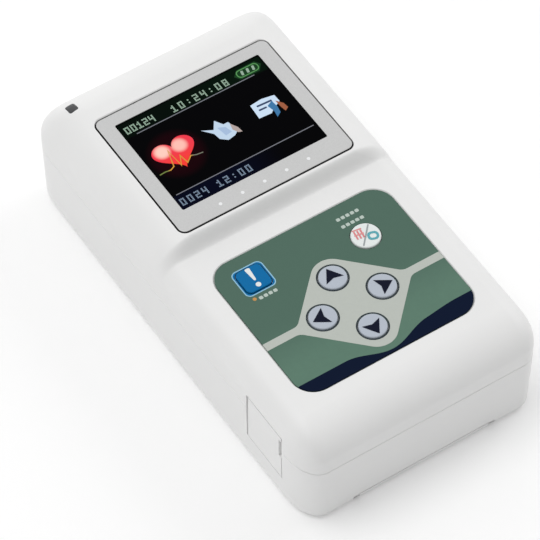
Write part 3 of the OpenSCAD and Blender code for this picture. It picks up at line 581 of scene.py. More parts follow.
class Finish(Nodes):
    """One material, built node by node."""

    def __init__(self, name):
        self.material = bpy.data.materials.new(name)
        self.material.use_nodes = True
        super().__init__(self.material.node_tree)
        self.shader = self.tree.nodes["Principled BSDF"]

    def set(self, **sockets):
        """Fills the shader's own sockets, named with _ for each space."""
        for name, value in sockets.items():
            self.fill(self.shader.inputs[name.replace("_", " ")], value)

    def place(self):
        return self.node("ShaderNodeTexCoord", output="Object")

    def axis(self, name):
        """One coordinate of the place on the object, in millimetres."""
        return self.node("ShaderNodeSeparateXYZ", None, {0: self.place()},
                         output=name) * (1 / MM)

    def noise(self, size, detail=3.0):
        """Noise whose features are about as large as the size, in millimetres."""
        return self.node("ShaderNodeTexNoise", None,
                         {"Vector": self.place(), "Scale": 1 / (size * MM),
                          "Detail": detail, "Roughness": 0.55})

    def mixed(self, share, first, second):
        """The first colour where the share is 0, and the second where it is 1."""
        return self.node("ShaderNodeMix", {"data_type": "RGBA"},
                         {0: share, 6: first, 7: second}, output=2)

    def bumped(self, height, depth):
        """A normal from a height, whose full range is the depth in millimetres."""
        return self.node("ShaderNodeBump", None,
                         {"Height": height, "Distance": depth * MM, "Strength": 1.0})


def shade(colour, share):
    """The colour, darkened to a share of itself."""
    return tuple(c * share for c in colour)


def moulded(name, colour, roughness=0.42, grain=0.35, depth=0.012):
    """Moulded plastic: a fine spark-eroded grain, and slow changes of tone."""
    made = Finish(name)
    tone = made.noise(14, 4)
    grains = made.noise(grain, 2)
    made.set(Base_Color=made.mixed(tone, shade(colour, 0.96), colour),
             Roughness=roughness - 0.06 + 0.08 * made.noise(6) + 0.06 * grains,
             Normal=made.bumped(grains, depth), IOR=1.48)
    return made.material


def metal(name, colour, roughness=0.28):
    """Plated or sheet metal with fine uneven gloss."""
    made = Finish(name)
    wear = made.noise(3, 5)
    made.set(Base_Color=made.mixed(wear, shade(colour, 0.86), colour),
             Roughness=roughness - 0.08 + 0.2 * wear,
             Normal=made.bumped(made.noise(0.12, 3), 0.006), Metallic=1.0)
    return made.material


FLAKE = 0.12
PAINT_DEEP = 0.11
PAINT_EDGE = 0.04


def painted(name, colour):
    """Silver paint with fine flakes on the bezel's top; its sides stay black."""
    made = Finish(name)
    flakes = made.node("ShaderNodeTexVoronoi", None,
                       {"Vector": made.place(), "Scale": 1 / (FLAKE * MM)},
                       output="Color")
    tint = made.node("ShaderNodeSeparateColor", None, {0: flakes})
    top = made.axis("Z").above(BEZEL_TOP_H - PAINT_DEEP, PAINT_EDGE)
    silver = made.mixed(tint, shade(colour, 0.9), colour)
    made.set(Base_Color=made.mixed(top, (0.01, 0.01, 0.011), silver),
             Roughness=0.29 + 0.1 * made.noise(4),
             Normal=made.bumped(made.noise(0.3), 0.008),
             Metallic=0.35 * top, Coat_Weight=0.3 * top, Coat_Roughness=0.25)
    return made.material


def inked(name, colour, roughness=0.38, gloss=0.06):
    """Print on the keypad's film: even ink with a faint mottle."""
    made = Finish(name)
    made.set(Base_Color=made.mixed(made.noise(1.2, 4), shade(colour, 0.93), colour),
             Roughness=roughness - 0.04 + 0.08 * made.noise(0.8),
             Normal=made.bumped(made.noise(0.25), 0.004), Specular_IOR_Level=gloss)
    return made.material


DOT_ROW = 0.23


def lit(name, colour, strength):
    """A lit area of the display, with its fine rows of dots."""
    made = Finish(name)
    rows = made.node("ShaderNodeMath", {"operation": "SINE"},
                     {0: made.axis("Y") * (2 * math.pi / DOT_ROW)})
    glow = made.mixed(0.5 + 0.5 * rows, shade(colour, 0.82), colour)
    made.set(Base_Color=shade(colour, 0.1), Emission_Color=glow,
             Emission_Strength=strength, Roughness=0.12, Specular_IOR_Level=0.1)
    return made.material


CASE_WHITE = (0.82, 0.82, 0.816)
EVENT_BLUE = (0.002, 0.150, 0.385)
INK_DIAMOND = (0.50, 0.53, 0.49)
INK_NAVY = (0.0015, 0.0065, 0.026)
INK_RING = (0.03, 0.042, 0.052)
INK_WHITE = (0.80, 0.83, 0.82)
FADE_Y, FADE_L = -30.0, 14.0


def overlay_finish():
    """Green keypad film, slightly lighter towards the bottom end."""
    made = Finish("keypad film")
    lower = made.axis("Y").above(FADE_Y, FADE_L)
    green = made.mixed(lower, (0.108, 0.205, 0.150), (0.076, 0.146, 0.110))
    mottle = made.mixed(made.noise(1.5, 4) * 0.3, green, (0.07, 0.125, 0.1))
    made.set(Base_Color=mottle, Roughness=0.36 + 0.08 * made.noise(0.9),
             Normal=made.bumped(made.noise(0.22), 0.004), Specular_IOR_Level=0.15)
    return made.material


PICTURE_Y = BEZEL_Y + 0.9
HEART_AT = (-11.5, 0.4)
HALO_R = 7.5
LOWER_BAND_Y = 15.6
UPPER_BAND_Y = 35.0


def glass_finish():
    """Dark display glass, faintly green behind the upper line of the picture,
    navy behind the lower one and dark red round the heart."""
    made = Finish("display glass")
    x, y = made.axis("X"), made.axis("Y")
    lower = (1 - y.above(LOWER_BAND_Y, 0.4)) * (1 - x.above(3.0, 14.0))
    upper = y.above(UPPER_BAND_Y, 0.6) * (0.5 + 0.5 * x.above(2.0, 24.0))
    ground = made.mixed(lower, (0.0007, 0.0007, 0.0012), (0.0012, 0.002, 0.010))
    ground = made.mixed(upper, ground, (0.001, 0.0065, 0.0026))
    dx, dy = x - HEART_AT[0], y - (PICTURE_Y + HEART_AT[1])
    halo = (1 - (dx * dx + dy * dy) * (1 / HALO_R ** 2)).above(0.3, 0.6)
    ground = made.mixed(halo, ground, (0.010, 0.0006, 0.0022))
    made.set(Base_Color=ground, Roughness=0.07 + 0.05 * made.noise(9, 5), IOR=1.5,
             Specular_IOR_Level=0.02)
    return made.material


def board_finish():
    """Green solder mask with traces under it."""
    made = Finish("solder mask")
    lanes = made.node("ShaderNodeTexBrick", {"offset": 0.5},
                      {"Vector": made.place(), "Scale": 180.0,
                       "Color1": (0.01, 0.10, 0.04), "Color2": (0.012, 0.14, 0.055),
                       "Mortar": (0.02, 0.22, 0.09), "Mortar Size": 0.03})
    made.set(Base_Color=lanes, Roughness=0.3 + 0.15 * made.noise(2),
             Normal=made.bumped(made.noise(0.6), 0.02), Coat_Weight=0.3)
    return made.material


CELL_X = 7.5
CELL_H = middle("battery_left")[2]
CELL_R = CELL_H - corners("battery_left")[0][2]
SLEEVE_R = CELL_R - 0.42
PRINT_Y = -14.0


def cell_finish():
    """Printed sleeve round a battery cell, in two bands, and bare steel ends."""
    made = Finish("cell sleeve")
    dx = made.axis("X").calculated("ABSOLUTE") - CELL_X
    dz = made.axis("Z") - CELL_H
    sleeve = (dx * dx + dz * dz).above(SLEEVE_R ** 2, 1.0)
    print_edge = made.axis("Y").above(PRINT_Y, 0.3)
    ink = made.mixed(print_edge, (0.030, 0.045, 0.115), (0.40, 0.30, 0.12))
    steel = made.mixed(made.noise(2, 5), (0.42, 0.42, 0.43), (0.58, 0.58, 0.59))
    made.set(Base_Color=made.mixed(sleeve, steel, ink), Metallic=1 - 0.55 * sleeve,
             Roughness=0.22 + 0.12 * made.noise(3),
             Normal=made.bumped(made.noise(0.8), 0.006))
    return made.material


FINISHES = {
    "case_plastic": moulded("case plastic", CASE_WHITE),
    "bezel_silver": painted("bezel silver", (0.62, 0.622, 0.62)),
    "gasket_rubber": moulded("gasket rubber", (0.012, 0.012, 0.013), 0.6, 0.2),
    "display_glass": glass_finish(),
    "frame_plastic": moulded("frame plastic", (0.26, 0.27, 0.285), 0.5),
    "ribbon_film": inked("ribbon film", (0.42, 0.16, 0.02), 0.3, 0.5),
    "keypad_print": overlay_finish(),
    "event_blue": inked("event blue", EVENT_BLUE, 0.34, 0.1),
    "mode_white": moulded("mode white", (0.78, 0.82, 0.81), 0.36, 0.25, 0.006),
    "arrow_lavender": moulded("arrow lavender", (0.45, 0.495, 0.565), 0.36, 0.25,
                              0.006),
    "switch_black": moulded("switch black", (0.014, 0.014, 0.016), 0.42),
    "light_window": moulded("light window", (0.05, 0.052, 0.055), 0.2, 0.5, 0.004),
    "shell_metal": metal("shell metal", (0.66, 0.66, 0.67)),
    "pin_gold": metal("pin gold", (0.86, 0.58, 0.2), 0.22),
    "board_green": board_finish(),
    "cell_sleeve": cell_finish(),
    "screw_steel": metal("screw steel", (0.42, 0.42, 0.43), 0.32),
}

NODES_IN = {
    "case_plastic": "front_housing rear_housing battery_door port_cover",
    "bezel_silver": "screen_bezel",
    "gasket_rubber": "bezel_gasket",
    "display_glass": "display_panel",
    "frame_plastic": "display_frame",
    "ribbon_film": "display_ribbon",
    "keypad_print": "keypad_overlay",
    "event_blue": "event_key",
    "mode_white": "mode_key",
    "arrow_lavender": "up_key right_key left_key down_key",
    "switch_black": "key_switches lead_socket board_chips sounder",
    "light_window": "status_light",
    "shell_metal": "data_socket shield_can clock_cell leaf_contacts plate_contacts",
    "pin_gold": "lead_pins",
    "board_green": "main_board",
    "cell_sleeve": "battery_left battery_right",
    "screw_steel": "case_screws board_screws",
}
NODE_FINISH = {node: slot for slot, nodes in NODES_IN.items() for node in nodes.split()}


def dress_frame():
    """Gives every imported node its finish."""
    for name, slot in NODE_FINISH.items():
        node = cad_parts[name]
        if not node.data.materials:
            node.data.materials.append(FINISHES[slot])
        for index in range(len(node.material_slots)):
            node.material_slots[index].link = "OBJECT"
            node.material_slots[index].material = FINISHES[slot]


def mounted(made, body, slot, *nodes):
    """Puts a finished piece on its body, in the place of the named nodes."""
    made.data.materials.clear()
    made.data.materials.append(FINISHES[slot] if slot in FINISHES else slot)
    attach(made, body)
    slot in FINISHES
    if nodes:
        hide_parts(*nodes)
    return made


# --------------------------------------------------------------- the housings

JOIN = 0.2  # how far two solids that become one run into each other
FIT_GAP = 0.2
KEY_GAP = 0.2
RUN_GAP = 0.25
LIP_T = 0.9
LIP_H = 1.2
LIP_GAP = 0.15
EDGE = 0.22
POST_R = 3.0
GUSSET_HALF = 0.6
CASE_SCREWS = corners("case_screws")
HEAD_R = 2.2
HEAD_T = 1.5
HEAD_GAP = 0.2
LEAD_IN = 0.8
LEAD_IN_BELOW = 0.5
POST_X = CASE_SCREWS[1][0] - HEAD_R
POST_Y = (CASE_SCREWS[0][1] + HEAD_R, CASE_SCREWS[1][1] - HEAD_R)
CASE_POSTS = [(side * POST_X, y) for side in (-1, 1) for y in POST_Y]
SEAT_H = CASE_SCREWS[0][2] + HEAD_T
SHANK_R = 1.2
SHANK_GAP = 0.15
BOARD_SCREWS = corners("board_screws")
BOARD_HEAD_R = 1.7
BOARD_SHANK_R = 0.9
BOARD_HOLE_DEEP = 3.4
SCREW_END_GAP = 0.4
BOARD_POST_R = 2.1
BOARD_POSTS = [(side * (BOARD_SCREWS[1][0] - BOARD_HEAD_R), y) for side in (-1, 1)
               for y in (BOARD_SCREWS[0][1] + BOARD_HEAD_R,
                         BOARD_SCREWS[1][1] - BOARD_HEAD_R)]
BOARD_LOW, BOARD_HIGH = corners("main_board")
GLASS_LOW, GLASS_HIGH = corners("display_panel")
FRAME_TOP_H = corners("display_frame")[1][2]
KEY_R = {"mode_key": 3.4, "up_key": 3.2, "right_key": 3.2, "left_key": 3.2,
         "down_key": 3.2}
EVENT_SIDE = 6.4
EVENT_R = 1.3
STEM_R = 1.6
KEY_CAP_T = 1.05
KEY_SINK = 0.35
KEYPAD_R = 5.2
SEAT_SIDE = 2.9
SEAT_END = 1.7
LIGHT_GAP = 0.15
LIGHT_R = 0.5
GLASS_R = 0.6
LIGHT_LOW, LIGHT_HIGH = corners("status_light")
COVER_LOW, COVER_HIGH = corners("port_cover")
SOCKET_LOW, SOCKET_HIGH = corners("data_socket")
LEAD_LOW, LEAD_HIGH = corners("lead_socket")
LEAD_R = 5.0
LEAD_FLANGE_R = LEAD_HIGH[0]
LEAD_FLANGE_Y = 53.0
HINGE_R = 0.8
HINGE_SINK = 0.2
HINGE_X = HINGE_SINK + HINGE_R - HALF_W
PIN_R = 0.4
PIN_L = 0.9
COVER_SKIN_LOW = COVER_LOW[2] + PIN_L
COVER_SKIN_HIGH = COVER_HIGH[2] - PIN_L
HINGE_Y = COVER_HIGH[1] - HINGE_R
POCKET_LOW_Y = COVER_LOW[1] - RUN_GAP
COVER_END_R = 1.0
COVER_GAP = 0.1
COVER_T = 1.6
POCKET_HIGH_Y = HINGE_Y + COVER_END_R + COVER_GAP
PORT_FLOOR_X = HINGE_X + HINGE_R + RUN_GAP
PORT_WALL = 1.6


def bezel_size():
    """Width and length of the bezel, a hair inside its seat in the case."""
    return (2 * (BEZEL_HIGH[0] - BEZEL_IN),
            BEZEL_HIGH[1] - BEZEL_LOW[1] - 2 * BEZEL_IN)


def place_of(node):
    """Where the middle of a node lies, seen from the front."""
    return tuple(middle(node)[:2])


def key_bottom(node):
    """Height of the underside of a key's cap."""
    return corners(node)[1][2] - KEY_CAP_T


def port_pocket():
    """Hollow for the port cover, its pins and the data socket behind it."""
    return [
        block((-HALF_W - OVER, POCKET_LOW_Y, COVER_SKIN_LOW - RUN_GAP),
              (PORT_FLOOR_X, POCKET_HIGH_Y, COVER_SKIN_HIGH + RUN_GAP)),
        rod((HINGE_X, HINGE_Y), PIN_R + COVER_GAP, COVER_LOW[2] - 2 * RUN_GAP,
            COVER_HIGH[2] + 2 * RUN_GAP, 32),
        block((-HALF_W, SOCKET_LOW[1] - FIT_GAP, SOCKET_LOW[2] - FIT_GAP),
              (PORT_FLOOR_X + 2 * PORT_WALL, SOCKET_HIGH[1] + FIT_GAP,
               SOCKET_HIGH[2] + FIT_GAP)),
    ]


def port_pad(low_h, high_h):
    """Solid plastic round the port cover's pocket."""
    return block((-HALF_W + WALL / 2, POCKET_LOW_Y - PORT_WALL, low_h),
                 (PORT_FLOOR_X + PORT_WALL, POCKET_HIGH_Y + PORT_WALL, high_h))


def lead_hole():
    """Hole in the top end for the lead socket, wider behind the wall."""
    return [
        end_rod(0, JOINT_H, LEAD_R + FIT_GAP, LEAD_LOW[1], HALF_L + OVER),
        end_rod(0, JOINT_H, LEAD_FLANGE_R + FIT_GAP, LEAD_LOW[1],
                LEAD_FLANGE_Y + FIT_GAP),
    ]


def gussets(low_h, high_h):
    """Ribs that tie the screw posts to the side walls."""
    made = []
    for x, y in CASE_POSTS:
        wall_x = math.copysign(HALF_W - WALL / 2, x)
        made.append(block((min(x, wall_x), y - GUSSET_HALF, low_h),
                          (max(x, wall_x), y + GUSSET_HALF, high_h)))
    return made


def sized(low, high, gap):
    """Width and length of a box, with a gap added on every side."""
    return high[0] - low[0] + 2 * gap, high[1] - low[1] + 2 * gap


def front_shell():
    """The front housing: shell, lip, bezel seat, posts and all its openings."""
    shell = front_form()
    lip = inner_form(WALL - LIP_T)
    band = block((-FAR, -FAR, JOINT_H - LIP_H), (FAR, FAR, JOINT_H + WALL / 2))
    boolean(lip, band, "INTERSECT")
    bezel_w, bezel_l = bezel_size()
    seat = block((-bezel_w / 2 - SEAT_SIDE, BEZEL_LOW[1] - SEAT_END, FRAME_TOP_H),
                 (bezel_w / 2 + SEAT_SIDE, BEZEL_HIGH[1] + SEAT_SIDE,
                  GASKET_LOW[2] + JOIN))
    inside_h = KEYPAD_FACE_H - WALL
    posts = [rod(at, POST_R, JOINT_H, inside_h - JOIN) for at in CASE_POSTS]
    posts += [rod(at, BOARD_POST_R, BOARD_HIGH[2],
                  (FRAME_TOP_H if at[1] > 0 else inside_h) + JOIN)
              for at in BOARD_POSTS]
    carved(shell, [lip], [inner_form(WALL)])
    carved(shell, [seat, *posts, *gussets(JOINT_H, SHOULDER_H + 1.8),
                   port_pad(JOINT_H, COVER_SKIN_HIGH + PORT_WALL)])
    glass_y = (GLASS_LOW[1] + GLASS_HIGH[1]) / 2
    cuts = [
        plate(bezel_w + 2 * BEAD_W, bezel_l + 2 * BEAD_W, BEZEL_R + BEAD_W,
              GASKET_LOW[2], SCREEN_FACE_H, (0, BEZEL_Y), EDGE),
        plate(*sized(GLASS_LOW, GLASS_HIGH, FIT_GAP), GLASS_R, FRAME_TOP_H - OVER,
              GASKET_LOW[2] + OVER, (0, glass_y)),
        plate(*sized(KEYPAD_LOW, KEYPAD_HIGH, FIT_GAP), KEYPAD_R + FIT_GAP,
              KEYPAD_LOW[2], KEYPAD_FACE_H, place_of("keypad_overlay"), EDGE),
        plate(EVENT_SIDE + 2 * KEY_GAP, EVENT_SIDE + 2 * KEY_GAP, EVENT_R + KEY_GAP,
              key_bottom("event_key") - KEY_SINK, KEYPAD_FACE_H, place_of("event_key")),
        plate(*sized(LIGHT_LOW, LIGHT_HIGH, LIGHT_GAP), LIGHT_R, BOARD_HIGH[2],
              SCREEN_FACE_H + OVER, place_of("status_light")),
    ]
    cuts += [rod(place_of(name), radius + KEY_GAP, key_bottom(name) - KEY_SINK,
                 KEYPAD_FACE_H) for name, radius in KEY_R.items()]
    cuts += [rod(place_of(name), STEM_R + KEY_GAP, BOARD_HIGH[2], KEYPAD_FACE_H)
             for name in [*KEY_R, "event_key"]]
    cuts += [rod(at, SHANK_R + SHANK_GAP, JOINT_H - OVER,
                 CASE_SCREWS[1][2] + SCREW_END_GAP) for at in CASE_POSTS]
    cuts += [rod(at, BOARD_SHANK_R + SHANK_GAP, BOARD_HIGH[2] - OVER,
                 BOARD_HIGH[2] + BOARD_HOLE_DEEP) for at in BOARD_POSTS]
    carved(shell, cuts=cuts + port_pocket() + lead_hole())
    mounted(smoothed(shell), "case", "case_plastic", "front_housing")


DOOR_LOW, DOOR_HIGH = corners("battery_door")
DOOR_HALF_W = 17.0
DOOR_TOP_H = DOOR_HIGH[2]
TONGUE_LOW_H = 1.0
TONGUE_T = 0.9
BAY_HALF_W = 15.05
BAY_WALL = 1.2
BAY_LOW_Y = -52.55
BAY_HIGH_Y = 2.65
BAY_ROOF_H = 17.2
SLOT_ROOF = 1.4
CONTACT_HALF_W = 1.2
CONTACT_HALF_T = 0.6
CONTACT_BELOW = 1.2
CONTACT_ABOVE = 3.6


def rear_shell():
    """The rear housing: shell, battery bay with its rails, and screw posts."""
    shell = rear_form()
    carved(shell, cuts=[inner_form(WALL)])
    groove_half_w = DOOR_HIGH[0] + RUN_GAP
    slot_h = DOOR_TOP_H + RUN_GAP
    wall_low_y, wall_low_h = WALL / 2 - HALF_L, WALL / 2
    adds = [
        block((-BAY_HALF_W - BAY_WALL, wall_low_y, wall_low_h),
              (BAY_HALF_W + BAY_WALL, BAY_HIGH_Y + BAY_WALL, BAY_ROOF_H + BAY_WALL)),
        block((-groove_half_w - 1, wall_low_y, wall_low_h),
              (groove_half_w + 1, DOOR_HIGH[1] + RUN_GAP + 1, slot_h + SLOT_ROOF)),
        *[rod(at, POST_R, wall_low_h, JOINT_H) for at in CASE_POSTS],
        *gussets(wall_low_h, JOINT_H),
        port_pad(COVER_LOW[2] - PORT_WALL, JOINT_H),
    ]
    grooves = inner_form(WALL - LIP_T - LIP_GAP)
    boolean(grooves, block((-FAR, -FAR, JOINT_H - LIP_H - LIP_GAP),
                           (FAR, FAR, SHOULDER_H)), "INTERSECT")
    carved(grooves, cuts=[inner_form(WALL + LIP_GAP)])
    cuts = [
        block((-BAY_HALF_W, BAY_LOW_Y, -OVER), (BAY_HALF_W, BAY_HIGH_Y, BAY_ROOF_H)),
        grooves,
        block((-DOOR_HALF_W - RUN_GAP, -FAR, -OVER),
              (DOOR_HALF_W + RUN_GAP, DOOR_HIGH[1] + RUN_GAP, slot_h)),
        block((-groove_half_w, -FAR, TONGUE_LOW_H - RUN_GAP),
              (groove_half_w, DOOR_HIGH[1] + RUN_GAP, TONGUE_LOW_H + TONGUE_T + RUN_GAP)),
    ]
    for side in (-1, 1):
        for y in (BAY_LOW_Y, BAY_HIGH_Y):
            x = side * CELL_X
            cuts.append(block((x - CONTACT_HALF_W, y - CONTACT_HALF_T,
                               BAY_ROOF_H - CONTACT_BELOW),
                              (x + CONTACT_HALF_W, y + CONTACT_HALF_T,
                               BAY_ROOF_H + CONTACT_ABOVE)))
    well_r, rim_h = HEAD_R + HEAD_GAP, LEAD_IN - LEAD_IN_BELOW
    for at in CASE_POSTS:
        cuts.append(rod(at, well_r, -OVER, SEAT_H))
        cuts.append(rod(at, SHANK_R + SHANK_GAP, 0, JOINT_H + OVER))
        cuts.append(lathe("lead_in", [(0, -LEAD_IN_BELOW),
                                      (well_r + LEAD_IN, -LEAD_IN_BELOW),
                                      (well_r, rim_h), (0, rim_h)], at))
    carved(shell, adds, cuts + port_pocket() + lead_hole())
    mounted(smoothed(shell), "case", "case_plastic", "rear_housing")


GRIP_COUNT = 5
GRIP_PITCH = 2.0
GRIP_FIRST = 8.4
GRIP_L = 14.0
GRIP_W = 0.8
GRIP_DEEP = 0.5
GRIP_R = 0.39


def battery_door():
    """The sliding door: a plate cut from the case's own form, its tongues, and
    rounded finger grooves."""
    door = whole_form()
    boolean(door, block((-DOOR_HALF_W, -FAR, DOOR_LOW[2]),
                        (DOOR_HALF_W, DOOR_HIGH[1], DOOR_TOP_H)), "INTERSECT")
    tongue = block((DOOR_LOW[0], BACK_ROUND - HALF_L, TONGUE_LOW_H),
                   (DOOR_HIGH[0], DOOR_HIGH[1], TONGUE_LOW_H + TONGUE_T))
    cuts = []
    for i in range(GRIP_COUNT):
        y = GRIP_FIRST + GRIP_PITCH * i - HALF_L
        outline = rounded(GRIP_L, GRIP_W, GRIP_R, (0, y), 8)
        cuts.append(stacked("grip", [[(x, py, h) for x, py in outline]
                                     for h in (-OVER, DOOR_LOW[2] + GRIP_DEEP)]))
    carved(door, [tongue], cuts)
    door.name = "door"
    mounted(smoothed(softened(door, 0.12, 2)), "battery_door", "case_plastic",
            "battery_door")


NOTCH_SHARE = 0.72
NOTCH_HALF = 3.0
NOTCH_DEEP = 0.8
NOTCH_W = 0.9


def port_cover():
    """The port cover, with the case's own surface, its hinge barrel and an end
    rounded about the hinge, so that it stays clear of the case as it swings."""
    cover = whole_form()
    boolean(cover, block((-HALF_W - OVER, POCKET_LOW_Y + RUN_GAP, COVER_SKIN_LOW),
                         (HINGE_X, HINGE_Y + COVER_END_R, COVER_SKIN_HIGH)), "INTERSECT")
    inside = whole_form()
    boolean(inside, block((HINGE_X - 0.02, POCKET_LOW_Y + RUN_GAP, COVER_SKIN_LOW),
                          (COVER_T - HALF_W, HINGE_Y, COVER_SKIN_HIGH)), "INTERSECT")
    boolean(cover, inside, "UNION")
    notch_h = COVER_SKIN_LOW + NOTCH_SHARE * (COVER_SKIN_HIGH - COVER_SKIN_LOW)
    barrel = rod((HINGE_X, HINGE_Y), HINGE_R, COVER_SKIN_LOW, COVER_SKIN_HIGH, 48)
    pins = rod((HINGE_X, HINGE_Y), PIN_R, COVER_LOW[2], COVER_HIGH[2], 32)
    notch = block((-HALF_W - OVER, COVER_LOW[1] - OVER, notch_h - NOTCH_HALF),
                  (NOTCH_DEEP - HALF_W, COVER_LOW[1] + NOTCH_W, notch_h + NOTCH_HALF))
    corner = block((-HALF_W - 2 * OVER, HINGE_Y, COVER_SKIN_LOW - OVER),
                   (0, POCKET_HIGH_Y, COVER_SKIN_HIGH + OVER))
    carved(corner, cuts=[rod((HINGE_X, HINGE_Y), COVER_END_R, COVER_SKIN_LOW - 2 * OVER,
                             COVER_SKIN_HIGH + 2 * OVER)])
    carved(cover, [barrel, pins], [notch, corner])
    cover.name = "cover"
    mounted(smoothed(cover), "port_cover", "case_plastic", "port_cover")


# ------------------------------------------------------- screen, keys, prints

GLASS_RIM = 0.5
WINDOW_R = 0.35
GASKET_LIP = 2.0
GASKET_TOP_H = SCREEN_FACE_H - 0.8
GASKET_CLEAR = 0.02
KEY_RIM = 0.3
KEY_DISH = 0.05
EVENT_EDGE = 0.25


def screen_bezel():
    """The silver bezel, with rounded rims inside and out."""
    outlines = [
        rounded(*bezel_size(), BEZEL_R, (0, BEZEL_Y)),
        rounded(*sized(GLASS_LOW, GLASS_HIGH, -GLASS_RIM), WINDOW_R,
                place_of("display_panel")),
    ]
    bezel = prism("bezel", outlines, BEZEL_LOW[2], BEZEL_TOP_H)
    mounted(smoothed(softened(bezel, 0.18, 4)), "case", "bezel_silver", "screen_bezel")


def gasket():
    """The rubber seal: a lip under the bezel and a round bead beside it."""
    width, length = bezel_size()
    bead, lip = 2 * BEAD_W - GASKET_CLEAR, -2 * GASKET_LIP
    floor_h = GASKET_LOW[2]
    outer = rounded(width + bead, length + bead, BEZEL_R + bead / 2, (0, BEZEL_Y))
    rim = rounded(width + GASKET_CLEAR, length + GASKET_CLEAR, BEZEL_R, (0, BEZEL_Y))
    inner = rounded(width + lip, length + lip, 0.5, (0, BEZEL_Y))
    ring_made = softened(prism("ring", [outer, rim], floor_h, GASKET_TOP_H), 0.14, 3)
    flat = prism("seal", [outer, inner], floor_h, BEZEL_LOW[2])
    mounted(smoothed(carved(flat, [ring_made])), "case", "gasket_rubber", "bezel_gasket")


def key_profile(low_h, cap_low_h, top_h, radius):
    """Stem, cap, rounded rim and a slightly dished top."""
    profile = [(0, low_h), (STEM_R, low_h), (STEM_R, cap_low_h), (radius, cap_low_h)]
    profile += arc((radius - KEY_RIM, top_h - KEY_RIM), KEY_RIM, 0, 90, 6)
    profile += [((radius - KEY_RIM) * share, top_h - KEY_DISH * (1 - share * share))
                for share in (0.8, 0.6, 0.4, 0.2, 0.0)]
    return profile


def round_keys():
    """The mode key and the four arrow keys."""
    for name, radius in KEY_R.items():
        low, high = corners(name)
        key = lathe(name + "_cap", key_profile(low[2], key_bottom(name), high[2], radius),
                    place_of(name))
        mounted(smoothed(key, 40), name, NODE_FINISH[name], name)


def event_key():
    """The square key, with soft edges and a round stem."""
    low, high = corners("event_key")
    at, cap_low_h = place_of("event_key"), key_bottom("event_key")
    cap = plate(EVENT_SIDE, EVENT_SIDE, EVENT_R, cap_low_h, high[2], at)
    softened(cap, EVENT_EDGE, 4)
    carved(cap, [rod(at, STEM_R, low[2], cap_low_h + JOIN / 2)])
    cap.name = "event_key_cap"
    mounted(smoothed(cap), "event_key", "event_blue", "event_key")


INK_T = 0.02
INK_WRAP = 0.012
DIAMOND_AT = (-0.2, -28.0)
DIAMOND_REACH = 15.15
TIP_R = 4.8
STRIPE_HALF = 1.0
STRIPE_Y = -27.6
FLARE_R = 2.4


def diamond_outline():
    """Diamond with round top and bottom tips, and a stripe out to each side of
    the keypad, joined by hollow fillets."""
    cx, cy = DIAMOND_AT
    half_w = KEYPAD_HIGH[0] + INK_WRAP
    tip = DIAMOND_REACH - TIP_R * math.sqrt(2)
    top = arc((cx, cy + tip), TIP_R, 45, 135, 16)
    bottom = arc((cx, cy - tip), TIP_R, 225, 315, 16)
    points = []
    for side, tip_arc in ((-1, top), (1, bottom)):
        points += tip_arc
        offset = STRIPE_Y - cy
        up = STRIPE_HALF + offset if side < 0 else STRIPE_HALF - offset
        down = STRIPE_HALF - offset if side < 0 else STRIPE_HALF + offset
        turn = FLARE_R * math.tan(math.radians(22.5))
        for rise, order in ((up, 1), (-down, -1)):
            reach = DIAMOND_REACH - abs(rise)
            level = cy - side * rise if side > 0 else cy + rise
            vertical = 1 if level > cy + offset else -1
            centre = (cx + side * (reach + turn), level + vertical * FLARE_R)
            start = -90 * vertical
            end = start - side * vertical * 45
            curve = arc(centre, FLARE_R, end, start, 6)
            edge = (side * half_w, level)
            points += curve + [edge] if order == 1 else [edge] + curve[::-1]
    return points


def printed(name, outlines, finish, body="case", low_h=KEYPAD_FACE_H, thick=INK_T):
    """A thin layer of ink in the given outlines."""
    return mounted(prism(name, outlines, low_h, low_h + thick), body, finish)


def turned(points, at, degrees):
    """Points about the origin, turned and moved to a place."""
    a = math.radians(degrees)
    return [(at[0] + x * math.cos(a) - y * math.sin(a),
             at[1] + x * math.sin(a) + y * math.cos(a)) for x, y in points]


WAVE_Y = -40.0
WAVE_DIP = 2.7
WAVE_DIP_HALF = 10.5
WAVE_LIFT = 0.9
WAVE_LIFT_X = 7.0
WAVE_LIFT_L = 12.0


def wave_outline():
    """Dark wave along the keypad's lower edge, with a trough in the middle."""
    corner_r = KEYPAD_R + INK_WRAP
    left_x = KEYPAD_LOW[0] - INK_WRAP + corner_r
    right_x = KEYPAD_HIGH[0] + INK_WRAP - corner_r
    centre_y = KEYPAD_LOW[1] - INK_WRAP + corner_r
    crest = []
    for x in np.linspace(right_x + corner_r, left_x - corner_r, 61):
        dip = math.cos(min(abs(x) / WAVE_DIP_HALF, 1.0) * math.pi / 2) ** 2
        lift = min(1.0, max(0.0, (x - WAVE_LIFT_X) / WAVE_LIFT_L))
        crest.append((x, WAVE_Y - WAVE_DIP * dip
                      + WAVE_LIFT * lift * lift * (3 - 2 * lift)))
    left = math.degrees(math.asin((crest[-1][1] - centre_y) / corner_r))
    right = math.degrees(math.asin((crest[0][1] - centre_y) / corner_r))
    return (crest[1:-1] + arc((left_x, centre_y), corner_r, 180 - left, 270, 10)
            + arc((right_x, centre_y), corner_r, 270, 360 + right, 10))


